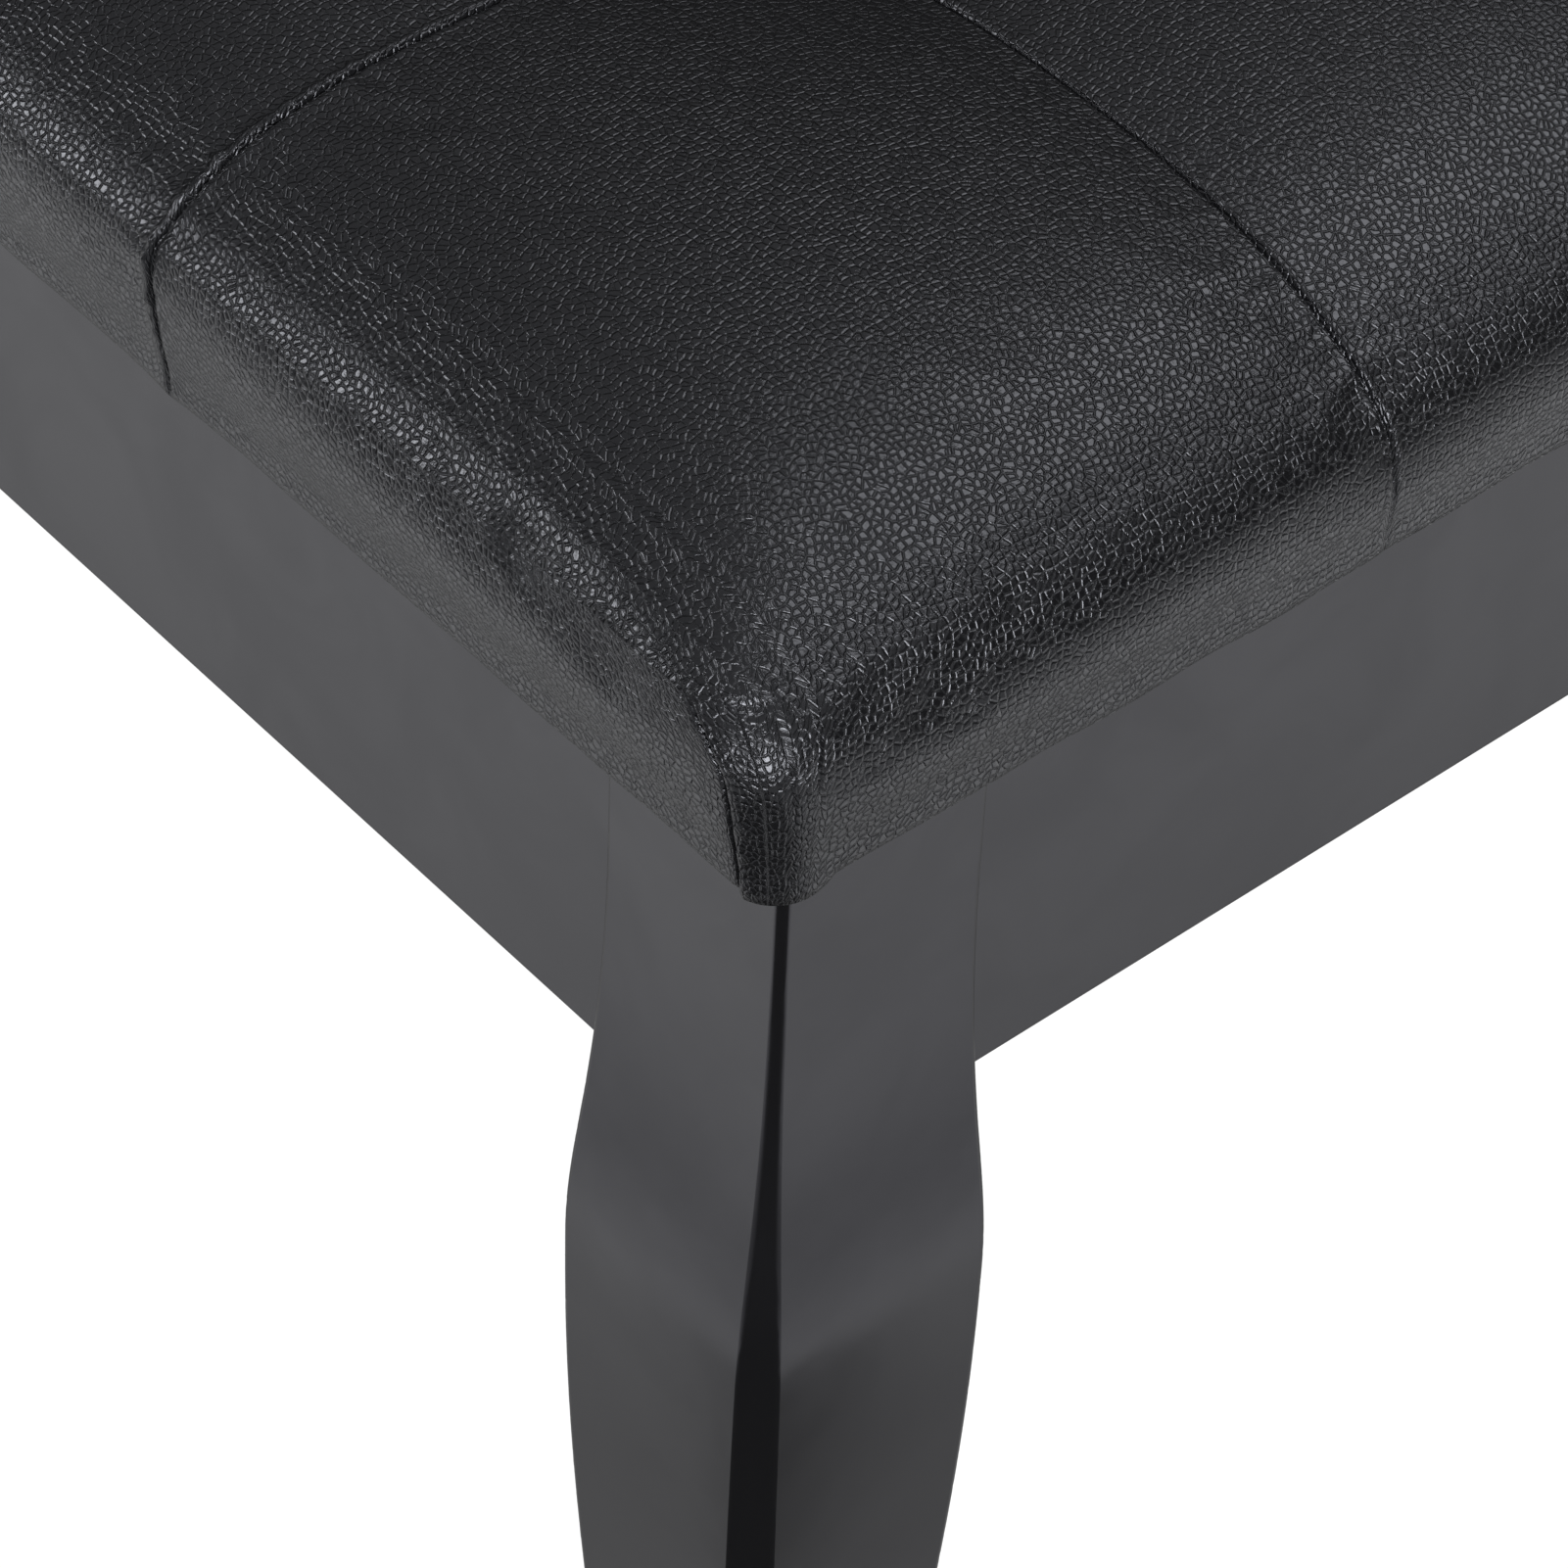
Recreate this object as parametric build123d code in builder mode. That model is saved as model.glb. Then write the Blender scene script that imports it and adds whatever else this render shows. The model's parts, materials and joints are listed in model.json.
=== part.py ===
"""Piano bench: an upholstered lid hinged on a four-legged frame with a music store.

Millimetres. +X runs along the bench, +Y to the hinge side at the back, +Z up. The
origin is on the floor, midway between the legs.
"""
import math
import os

from build123d import *

os.makedirs("parts", exist_ok=True)

# ---------------------------------------------------------------- driving dimensions
# Lid
seat_length = 741.0          # hem of the lid, end to end
seat_depth = 381.0           # hem of the lid, front to back
seat_height = 445.0          # floor to the underside of the lid
lid_gap = 2.0                # air between the frame and the closed lid
hem_corner = 8.5             # corner radius of the hem
board_thickness = 12.0
cover_thickness = 1.2
cover_turn_in = 30.0         # width of the cover folded under the board
lining_gap = 1.0             # between the lining and the folded cover
foam_clearance = 0.3         # foam to the inside of the cover
pad_crown = 50.0             # underside of the lid to the top of the padding
pad_bulge = 0.9              # swell of the ends beyond the hem
pad_bulge_side = 2.3         # swell of the long sides
pad_bulge_height = 24.5
bulge_corner = 11.0          # corner radius at the fullest line
widest_corner = 0.49         # most of a section's depth that one corner's radius takes
shoulder = (                 # drop below the crown, inset at ends and at sides, corner radius
    (16.1, 10.1, 0.0, 15.2),
    (10.1, 22.9, 7.6, 25.4),
    (5.1, 39.0, 20.3, 35.5),
    (1.7, 60.8, 39.0, 45.6),
    (0.0, 93.2, 67.9, 50.7),
)

# Staples that hold the cover under the board
staple_inset = 26.0          # hem to the row of staples
staple_pitch = 55.0
staple_crown = 10.0
staple_wire = 1.0
staple_crown_depth = 0.6
staple_leg = 8.0

# Legs
leg_post = 41.5              # square top of the leg
leg_end_inset = 4.3          # hem to the leg's face at the ends
leg_front_inset = 6.8        # hem to the leg's face at front and back
leg_straight = 21.0          # lid underside to where the knee starts
leg_knee_drop = 110.0        # lid underside to the fullest part of the knee
leg_knee_out = 7.8           # knee beyond the post's outer face
leg_inner_drop = 127.0       # lid underside to where the inner face starts to taper
leg_ankle_height = 55.0
leg_ankle_in = 7.6           # ankle inside the post's outer face
leg_ankle = 26.1             # width of the ankle
leg_foot_in = 4.2
leg_foot = 28.9              # width of the foot
knee_pull_top = 0.62         # pull of the knee curve's ends, as shares of its drop
knee_pull = 0.28
leg_edge = 1.3               # rounding of the leg's long edges
arris_top = 0.95             # how far the outer arris is planed off, at the top
arris_knee = 3.3             # and at the knee
arris_ankle = 3.8            # and at the ankle
arris_foot = 2.6             # and at the foot
leg_flat_least = 12.0        # inner corner of the post planed off for the block, at least

# Aprons and the bottom of the music store
apron_bottom_drop = 73.8     # lid underside to the bottom edge of the aprons
apron_thickness = 16.0
apron_end_inset = 6.8
apron_front_inset = 8.9
apron_edge = 1.7             # rounding of the bottom edges
joint_gap = 0.3              # apron end to leg
panel_thickness = 4.0
panel_rise = 8.0             # apron's bottom edge to the panel
groove_depth = 6.0
groove_clearance = 0.3

# Corner blocks, with their bolts and screws
block_thickness = 16.0
block_height = 48.0
block_drop = 8.0             # frame's top to the block's top
bolt_radius = 3.0
bolt_in_leg = 34.0
bolt_end = 12.0              # beyond the block, for washer and nut
bolt_spacing = 26.0
bolt_hole_clearance = 0.5
thread_clearance = 0.05      # screw or bolt to the wood that it bites in
washer_radius = 8.0
washer_thickness = 1.6
nut_across_flats = 10.0
nut_thickness = 5.0
block_screw_radius = 2.0
block_screw_head = 4.0
block_screw_head_height = 2.6
block_screw_in_apron = 11.0
block_screw_seat = 6.0       # wood left under the head
block_screw_spacing = 32.0

# Feet and bumpers
glide_radius = 11.0
glide_height = 4.0
glide_edge = 1.3             # rounding of the glide's rim
glide_nail_radius = 1.3
glide_nail = 14.0
bumper_radius = 6.0

# Butt hinges
hinge_end_inset = 145.0      # end of the hem to the hinge's middle
hinge_length = 60.0
hinge_axis_inset = 3.5       # hem to the hinge axis
knuckle_radius = 2.1
knuckles = 5
knuckle_gap = 0.3
pin_radius = 1.0
pin_fit = 0.05
leaf_thickness = 1.5
leaf_gap = 0.2               # between the closed leaves
leaf_width = 20.0            # hinge axis to the leaf's far edge
leaf_screw_pitch = 20.0
leaf_screw_radius = 1.5
leaf_screw_head = 2.8
leaf_screw_length = 11.0
mortise_clearance = 0.3
barrel_clearance = 2.4       # end of the barrel to the end of its groove in the hem

# Friction stay, at the right-hand end
stay_box_drop = 22.0         # hinge axis down to the pivot on the apron
stay_lid_drop = 9.0          # hinge axis down to the pivot on the lid
stay_width = 12.0
stay_arm_thickness = 2.0
stay_plate = 1.5
stay_play = 0.4              # air between neighbouring layers of the stay
stay_pin_radius = 2.5
stay_head_radius = 4.0
stay_head = 1.0
elbow_clearance = 0.3
stay_foot_length = 30.0
stay_foot_width = 20.0
stay_foot_corner = 5.0
stay_ear = 8.0               # radius of the lid bracket's ear round its pivot
stay_screw_pitch = 22.0
stay_clearance = 2.0         # stay to the corner blocks, with the lid closed

# ---------------------------------------------------------------- places worked out
root2 = math.sqrt(2)
frame_top = seat_height - lid_gap
apron_bottom = seat_height - apron_bottom_drop
apron_height = frame_top - apron_bottom
panel_bottom = apron_bottom + panel_rise

leg_outer_x = seat_length / 2 - leg_end_inset
leg_outer_y = seat_depth / 2 - leg_front_inset
leg_inner_x = leg_outer_x - leg_post
leg_inner_y = leg_outer_y - leg_post
end_apron_outer = seat_length / 2 - apron_end_inset
end_apron_inner = end_apron_outer - apron_thickness
front_apron_outer = seat_depth / 2 - apron_front_inset
front_apron_inner = front_apron_outer - apron_thickness

block_top = frame_top - block_drop
block_bottom = block_top - block_height
block_middle = (block_top + block_bottom) / 2
bolt_heights = (block_middle - bolt_spacing / 2, block_middle + bolt_spacing / 2)

board_bottom = seat_height + cover_thickness
board_top = board_bottom + board_thickness

hinge_y = seat_depth / 2 - hinge_axis_inset
hinge_z = seat_height - leaf_thickness - leaf_gap / 2
frame_leaf_bottom = hinge_z - leaf_gap / 2 - leaf_thickness
leaf_screw_y = (front_apron_outer + front_apron_inner) / 2
knuckle_length = hinge_length / knuckles

# The stay is a rhombus: each arm is as long as the way from the hinge axis to a fixed pivot.
# Its length leaves as much air between the closed elbow and the front corner block as
# between the plate on the apron and the back one, and the legs' planed corners give it room.
stay_room = 2 * hinge_y + (stay_foot_width - stay_width) / 2
stay_drops = stay_box_drop ** 2 - stay_lid_drop ** 2
stay_box_y = hinge_y - (2 * stay_room - math.sqrt(stay_room ** 2 + 3 * stay_drops)) / 3
block_reach = block_thickness * root2                # width of a block's foot on an apron
stay_end = stay_box_y + stay_foot_width / 2
leg_flat = max(leg_flat_least, stay_end + stay_clearance + block_reach + end_apron_inner
               - leg_inner_x - leg_inner_y)
flat_sum = leg_inner_x + leg_inner_y + leg_flat      # |x| + |y| on the leg's planed corner
flat_middle = (leg_inner_x + leg_flat / 2, leg_inner_y + leg_flat / 2)
hinge_x_out = seat_length / 2 - hinge_end_inset
hinge_places = {"left": -hinge_x_out, "right": hinge_x_out}
head_flat = 0.2                                      # straight rim of a countersunk head


def at_corners(piece):
    """The front-left piece and its mirror images at the other three corners."""
    right = mirror(piece, about=Plane.YZ)
    return {
        "front_left": piece,
        "front_right": right,
        "back_left": mirror(piece, about=Plane.XZ),
        "back_right": mirror(right, about=Plane.XZ),
    }


def write(builder, name):
    """Label a finished piece and write its file."""
    builder.part.label = name
    export_step(builder.part, f"parts/{name}.step")


def countersunk_screw(plane, head, radius, length, head_height):
    """A screw whose flat head lies in the plane, driven against the plane's normal."""
    with BuildPart(mode=Mode.PRIVATE) as screw:
        with BuildSketch(plane):
            Circle(head)
        extrude(amount=-head_flat)
        with BuildSketch(plane.offset(-head_flat)):
            Circle(head)
        with BuildSketch(plane.offset(-head_height)):
            Circle(radius)
        loft()
        with BuildSketch(plane.offset(-head_height)):
            Circle(radius)
        extrude(amount=-(length - head_height))
    return screw.part


# ---------------------------------------------------------------- legs
knee_z = seat_height - leg_knee_drop
straight_z = seat_height - leg_straight
inner_z = seat_height - leg_inner_drop
ease = (knee_z - leg_ankle_height) / 3               # pull of the long curves' ends
knee_ease_top = knee_pull_top * (straight_z - knee_z)
knee_ease = knee_pull * (straight_z - knee_z)


def long_curve(top, knee, ankle, foot, knee_lean=0.0):
    """Edge of the sawn leg from the straight post, over the knee and ankle, to the foot.

    Each argument is how far in from the post's outer face the edge lies there.
    """
    lean = knee_lean * knee_ease / ease
    Bezier((top, straight_z), (top, straight_z - knee_ease_top),
           (knee - lean, knee_z + knee_ease), (knee, knee_z))
    Bezier((knee, knee_z), (knee + knee_lean, knee_z - ease),
           (ankle, leg_ankle_height + ease), (ankle, leg_ankle_height))
    Bezier((ankle, leg_ankle_height), (ankle, leg_ankle_height * 2 / 3),
           ((ankle + 2 * foot) / 3, leg_ankle_height / 3), (foot, glide_height))


def leg_side_view(plane):
    """Side view of the sawn leg in a plane whose x runs inwards from the post's face."""
    ankle_inner = leg_ankle_in + leg_ankle
    foot_inner = leg_foot_in + leg_foot
    with BuildSketch(plane, mode=Mode.PRIVATE) as side:
        with BuildLine():
            Line((0, frame_top), (0, straight_z))
            long_curve(0, -leg_knee_out, leg_ankle_in, leg_foot_in)
            Line((leg_foot_in, glide_height), (foot_inner, glide_height))
            Line((foot_inner, glide_height), (ankle_inner, leg_ankle_height))
            Bezier((ankle_inner, leg_ankle_height), (ankle_inner, leg_ankle_height + ease),
                   (leg_post, inner_z - ease), (leg_post, inner_z))
            Line((leg_post, inner_z), (leg_post, frame_top))
            Line((leg_post, frame_top), (0, frame_top))
        make_face()
    return side.sketch.face()


corner_x = -leg_outer_x
corner_y = -leg_outer_y
diagonal = Vector(1, 1, 0).normalized()
across = Vector(-1, 1, 0).normalized()
leg_blank = leg_post + 2 * leg_knee_out               # timber that the leg is sawn from
end_view = Plane(origin=(corner_x, corner_y, 0), x_dir=(1, 0, 0), z_dir=(0, -1, 0))
side_view = Plane(origin=(corner_x, corner_y, 0), x_dir=(0, 1, 0), z_dir=(1, 0, 0))
arris_view = Plane(origin=(corner_x, corner_y, 0), x_dir=diagonal, z_dir=-across)
arris_waste = -leg_blank                             # clear of the timber, outside the arris

with BuildPart() as leg:
    extrude(leg_side_view(end_view.offset(-leg_blank)), amount=2 * leg_blank)
    extrude(leg_side_view(side_view.offset(-leg_blank)), amount=2 * leg_blank, mode=Mode.INTERSECT)
    with BuildSketch(arris_view.offset(-leg_blank)):
        with BuildLine():
            Line((arris_waste, glide_height), (arris_waste, frame_top))
            Line((arris_waste, frame_top), (arris_top, frame_top))
            Line((arris_top, frame_top), (arris_top, straight_z))
            long_curve(arris_top, arris_knee - root2 * leg_knee_out,
                       arris_ankle + root2 * leg_ankle_in,
                       arris_foot + root2 * leg_foot_in, knee_lean=arris_top)
            Line((arris_foot + root2 * leg_foot_in, glide_height), (arris_waste, glide_height))
        make_face()
    extrude(amount=2 * leg_blank, mode=Mode.SUBTRACT)
    long_edges = [e for e in leg.edges() if e.bounding_box().size.Z > leg_ankle_height / 3]
    fillet(long_edges, leg_edge)
    with BuildSketch(Plane.XY.offset(block_bottom)):
        with BuildLine():
            Polyline((-leg_inner_x, -leg_inner_y), (-leg_inner_x - leg_flat, -leg_inner_y),
                     (-leg_inner_x, -leg_inner_y - leg_flat), close=True)
        make_face()
    extrude(amount=frame_top - block_bottom, mode=Mode.SUBTRACT)
    for height in bolt_heights:
        flat_plane = Plane(origin=(-flat_middle[0], -flat_middle[1], height), z_dir=diagonal)
        with BuildSketch(flat_plane):
            Circle(bolt_radius + thread_clearance)
        extrude(amount=-(bolt_in_leg + thread_clearance), mode=Mode.SUBTRACT)
    foot_middle = leg_foot_in + leg_foot / 2
    with BuildSketch(Plane.XY.offset(glide_height)):
        with Locations((corner_x + foot_middle, corner_y + foot_middle)):
            Circle(glide_nail_radius + thread_clearance)
    extrude(amount=glide_nail + thread_clearance, mode=Mode.SUBTRACT)

for corner, piece in at_corners(leg.part).items():
    with BuildPart() as corner_leg:
        add(piece)
    write(corner_leg, f"leg_{corner}")


# ---------------------------------------------------------------- aprons
def apron(length, outer_face, screw_along):
    """An apron with its outer face towards -Y, before it is turned to its side."""
    inner_face = outer_face - apron_thickness
    with BuildPart(mode=Mode.PRIVATE) as board:
        with BuildSketch(Plane.XY.offset(apron_bottom)):
            with Locations((0, -(outer_face + inner_face) / 2)):
                Rectangle(length, apron_thickness)
        extrude(amount=apron_height)
        fillet(board.edges().filter_by(Axis.X).group_by(Axis.Z)[0], apron_edge)
        with BuildSketch(Plane.XY.offset(panel_bottom)):
            with Locations((0, -(inner_face + groove_depth / 2))):
                Rectangle(length, groove_depth)
        extrude(amount=panel_thickness + groove_clearance, mode=Mode.SUBTRACT)
        inner_plane = Plane(origin=(0, -inner_face, block_middle), x_dir=(1, 0, 0), z_dir=(0, -1, 0))
        with BuildSketch(inner_plane):
            with GridLocations(2 * screw_along, block_screw_spacing, 2, 2):
                Circle(block_screw_radius + thread_clearance)
        extrude(amount=block_screw_in_apron + thread_clearance, mode=Mode.SUBTRACT)
    return board.part


front_screw_x = flat_sum - front_apron_inner - block_reach / 2
end_screw_y = flat_sum - end_apron_inner - block_reach / 2
long_apron = apron(2 * (leg_inner_x - joint_gap), front_apron_outer, front_screw_x)
short_apron = apron(2 * (leg_inner_y - joint_gap), end_apron_outer, end_screw_y)

with BuildPart() as apron_front:
    add(long_apron)
write(apron_front, "apron_front")

with BuildPart() as apron_back:
    add(long_apron, rotation=(0, 0, 180))
    for hinge_x in hinge_places.values():
        with BuildSketch(Plane.XY.offset(frame_leaf_bottom)):
            with Locations((hinge_x, front_apron_inner + apron_thickness / 2)):
                Rectangle(hinge_length + mortise_clearance, 2 * leaf_width)
        extrude(amount=leaf_thickness + lid_gap, mode=Mode.SUBTRACT)
        with BuildSketch(Plane.XY.offset(frame_leaf_bottom)):
            with Locations((hinge_x, leaf_screw_y)):
                with GridLocations(leaf_screw_pitch, 1, 3, 1):
                    Circle(leaf_screw_radius + thread_clearance)
        extrude(amount=-leaf_screw_length, mode=Mode.SUBTRACT)
write(apron_back, "apron_back")

with BuildPart() as apron_left:
    add(short_apron, rotation=(0, 0, -90))
write(apron_left, "apron_left")

# ---------------------------------------------------------------- stay geometry
stay_box_z = hinge_z - stay_box_drop
stay_lid_y = hinge_y - math.sqrt((hinge_y - stay_box_y) ** 2 + stay_drops)
stay_lid_z = hinge_z - stay_lid_drop
elbow_y = stay_box_y + stay_lid_y - hinge_y
elbow_z = stay_box_z + stay_lid_z - hinge_z
plate_x = end_apron_inner - stay_plate               # inner face of the plate on the apron
lower_arm_x = plate_x - stay_play - stay_arm_thickness
upper_arm_x = lower_arm_x - stay_play - stay_arm_thickness
tab_x = upper_arm_x - stay_play                      # outer face of the tab on the lid
head_play = stay_play / 2

with BuildPart() as apron_right:
    add(short_apron, rotation=(0, 0, 90))
    with BuildSketch(Plane.YZ.offset(end_apron_inner)):
        with Locations((stay_box_y, stay_box_z)):
            with GridLocations(1, stay_screw_pitch, 1, 2):
                Circle(leaf_screw_radius + thread_clearance)
    extrude(amount=leaf_screw_length - stay_plate + thread_clearance, mode=Mode.SUBTRACT)
write(apron_right, "apron_right")

# ---------------------------------------------------------------- bottom of the store
with BuildPart() as storage_bottom:
    with BuildSketch(Plane.XY.offset(panel_bottom)):
        Rectangle(2 * (end_apron_inner + groove_depth - groove_clearance),
                  2 * (front_apron_inner + groove_depth - groove_clearance))
        with GridLocations(2 * leg_outer_x, 2 * leg_outer_y, 2, 2):
            Rectangle(2 * (leg_post + groove_clearance), 2 * (leg_post + groove_clearance),
                      mode=Mode.SUBTRACT)
    extrude(amount=panel_thickness)
write(storage_bottom, "storage_bottom")

# ---------------------------------------------------------------- corner blocks
inner_sum = flat_sum - block_reach


def bolt_plane(height, along=0.0):
    """Plane across a leg bolt of the front-left corner, along from the leg's planed face."""
    start = Vector(-flat_middle[0], -flat_middle[1], height) + diagonal * along
    return Plane(origin=start, z_dir=diagonal)


screw_heights = (block_middle - block_screw_spacing / 2, block_middle + block_screw_spacing / 2)
screw_planes = []                                    # at the head's seat, towards the apron
for height in screw_heights:
    screw_planes.append(Plane(
        origin=(-front_screw_x, -front_apron_inner + block_screw_seat, height), z_dir=(0, -1, 0)))
    screw_planes.append(Plane(
        origin=(-end_apron_inner + block_screw_seat, -end_screw_y, height), z_dir=(-1, 0, 0)))

with BuildPart() as corner_block:
    with BuildSketch(Plane.XY.offset(block_bottom)):
        with BuildLine():
            Polyline((-(flat_sum - front_apron_inner), -front_apron_inner),
                     (-(inner_sum - front_apron_inner), -front_apron_inner),
                     (-end_apron_inner, -(inner_sum - end_apron_inner)),
                     (-end_apron_inner, -(flat_sum - end_apron_inner)), close=True)
        make_face()
    extrude(amount=block_height)
    for height in bolt_heights:
        with BuildSketch(bolt_plane(height)):
            Circle(bolt_radius + bolt_hole_clearance)
        extrude(amount=block_thickness, mode=Mode.SUBTRACT)
    for plane in screw_planes:
        with BuildSketch(plane):
            Circle(block_screw_radius + thread_clearance)
        extrude(amount=block_screw_seat, mode=Mode.SUBTRACT)
        with BuildSketch(plane):
            Circle(block_screw_head + bolt_hole_clearance)
        extrude(amount=-block_reach, mode=Mode.SUBTRACT)

for corner, piece in at_corners(corner_block.part).items():
    with BuildPart() as block:
        add(piece)
    write(block, f"corner_block_{corner}")

with BuildPart() as bolts:
    for height in bolt_heights:
        with BuildSketch(bolt_plane(height, -bolt_in_leg)):
            Circle(bolt_radius)
        extrude(amount=bolt_in_leg + block_thickness + bolt_end)

with BuildPart() as washers:
    for height in bolt_heights:
        with BuildSketch(bolt_plane(height, block_thickness)):
            Circle(washer_radius)
            Circle(bolt_radius + bolt_hole_clearance, mode=Mode.SUBTRACT)
        extrude(amount=washer_thickness)

with BuildPart() as nuts:
    for height in bolt_heights:
        with BuildSketch(bolt_plane(height, block_thickness + washer_thickness)):
            RegularPolygon(nut_across_flats / 2, 6, major_radius=False)
            Circle(bolt_radius + thread_clearance, mode=Mode.SUBTRACT)
        extrude(amount=nut_thickness)

with BuildPart() as block_screws:
    for plane in screw_planes:
        with BuildSketch(plane):
            Circle(block_screw_radius)
        extrude(amount=block_screw_seat + block_screw_in_apron)
        with BuildSketch(plane):
            Circle(block_screw_head)
        extrude(amount=-block_screw_head_height)

# ---------------------------------------------------------------- feet and bumpers
with BuildPart() as glide:
    with BuildSketch(Plane.XY):
        with Locations((corner_x + foot_middle, corner_y + foot_middle)):
            Circle(glide_radius)
    extrude(amount=glide_height)
    fillet(glide.edges().group_by(Axis.Z)[0], glide_edge)
    with BuildSketch(Plane.XY.offset(glide_height)):
        with Locations((corner_x + foot_middle, corner_y + foot_middle)):
            Circle(glide_nail_radius)
    extrude(amount=glide_nail)

with BuildPart() as bumper:
    with BuildSketch(Plane.XY.offset(frame_top)):
        with Locations((corner_x + leg_post / 2, corner_y + leg_post / 2)):
            Circle(bumper_radius)
    extrude(amount=lid_gap)

for name, one_corner in (("leg_bolts", bolts), ("leg_washers", washers), ("leg_nuts", nuts),
                         ("corner_block_screws", block_screws), ("foot_glides", glide),
                         ("lid_bumpers", bumper)):
    with BuildPart() as group:
        for piece in at_corners(one_corner.part).values():
            add(piece)
    write(group, name)


# ---------------------------------------------------------------- upholstered lid
def padded_form(skin):
    """Outer form of the upholstered lid, drawn in by skin all round."""
    board_line = cover_thickness + board_thickness
    edge_rows = [                                    # height, end inset, side inset, corner
        (skin, 0.0, 0.0, hem_corner),
        (board_line, 0.0, 0.0, hem_corner),
        (pad_bulge_height, -pad_bulge, -pad_bulge_side, bulge_corner),
    ]
    shoulder_rows = edge_rows[-1:]
    for drop, end_in, side_in, corner_radius in shoulder:
        shoulder_rows.append((pad_crown - drop - skin, end_in, side_in, corner_radius))
    with BuildPart(mode=Mode.PRIVATE) as form:
        for rows in (edge_rows, shoulder_rows):
            for height, end_in, side_in, corner_radius in rows:
                section_depth = seat_depth - 2 * (side_in + skin)
                with BuildSketch(Plane.XY.offset(seat_height + height)):
                    RectangleRounded(seat_length - 2 * (end_in + skin), section_depth,
                                     min(corner_radius - skin, widest_corner * section_depth))
            loft(ruled=rows is edge_rows)
    return form.part


outer_form = padded_form(0)
inner_form = padded_form(cover_thickness)
foam_form = padded_form(cover_thickness + foam_clearance)

hinge_screw_places = [
    (hinge_x + step * leaf_screw_pitch, leaf_screw_y)
    for hinge_x in hinge_places.values() for step in (-1, 0, 1)]
lid_screw_planes = [
    Plane(origin=(x, y, seat_height - leaf_thickness), z_dir=(0, 0, -1))
    for x, y in hinge_screw_places]
stay_lid_planes = [
    Plane(origin=(tab_x - stay_foot_width / 2, stay_lid_y + step * stay_screw_pitch / 2,
                  seat_height - stay_plate), z_dir=(0, 0, -1))
    for step in (-1, 1)]

with BuildPart() as lid_screw_holes:                 # pilot holes of the screws from below
    for plane in lid_screw_planes + stay_lid_planes:
        with BuildSketch(plane):
            Circle(leaf_screw_radius + thread_clearance)
        extrude(amount=-(leaf_screw_length + thread_clearance))

with BuildPart() as lid_board:
    with BuildSketch(Plane.XY.offset(board_bottom)):
        RectangleRounded(seat_length - 2 * cover_thickness, seat_depth - 2 * cover_thickness,
                         hem_corner - cover_thickness)
    extrude(amount=board_thickness)
    add(lid_screw_holes.part, mode=Mode.SUBTRACT)
write(lid_board, "lid_board")

with BuildPart() as seat_foam:
    add(foam_form)
    split(bisect_by=Plane.XY.offset(board_top), keep=Keep.TOP)
write(seat_foam, "seat_foam")

with BuildPart() as seat_cover:
    add(outer_form)
    add(inner_form, mode=Mode.SUBTRACT)
    with BuildSketch(Plane.XY.offset(seat_height)):
        Rectangle(seat_length - 2 * cover_turn_in, seat_depth - 2 * cover_turn_in)
    extrude(amount=cover_thickness, mode=Mode.SUBTRACT)
    for hinge_x in hinge_places.values():            # the barrels press into the hem
        with BuildSketch(Plane.XY.offset(seat_height)):
            with Locations((hinge_x, hinge_y)):
                Rectangle(hinge_length + 2 * barrel_clearance, 2 * (knuckle_radius + knuckle_gap))
        extrude(amount=hinge_z + knuckle_radius + knuckle_gap - seat_height, mode=Mode.SUBTRACT)
    add(lid_screw_holes.part, mode=Mode.SUBTRACT)
write(seat_cover, "seat_cover")

with BuildPart() as lid_lining:
    with BuildSketch(Plane.XY.offset(seat_height)):
        Rectangle(seat_length - 2 * (cover_turn_in + lining_gap),
                  seat_depth - 2 * (cover_turn_in + lining_gap))
    extrude(amount=cover_thickness)
    add(lid_screw_holes.part, mode=Mode.SUBTRACT)
write(lid_lining, "lid_lining")


def staple_row(length):
    """Places along one side's row of staples, from its middle."""
    count = int((length / 2 - staple_inset) / staple_pitch)
    return [step * staple_pitch for step in range(-count, count + 1)]


staple_places = []
for side in (-1, 1):
    for along in staple_row(seat_length):
        staple_places.append(Location((along, side * (seat_depth / 2 - staple_inset), seat_height)))
    for along in staple_row(seat_depth):
        staple_places.append(Location((side * (seat_length / 2 - staple_inset), along, seat_height),
                                      (0, 0, 90)))

with BuildPart() as cover_staples:
    with Locations(*staple_places):
        Box(staple_crown, staple_wire, staple_crown_depth,
            align=(Align.CENTER, Align.CENTER, Align.MAX))
        with Locations((-(staple_crown - staple_wire) / 2, 0), ((staple_crown - staple_wire) / 2, 0)):
            Box(staple_wire, staple_wire, staple_leg, align=(Align.CENTER, Align.CENTER, Align.MIN))
write(cover_staples, "cover_staples")


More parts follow.
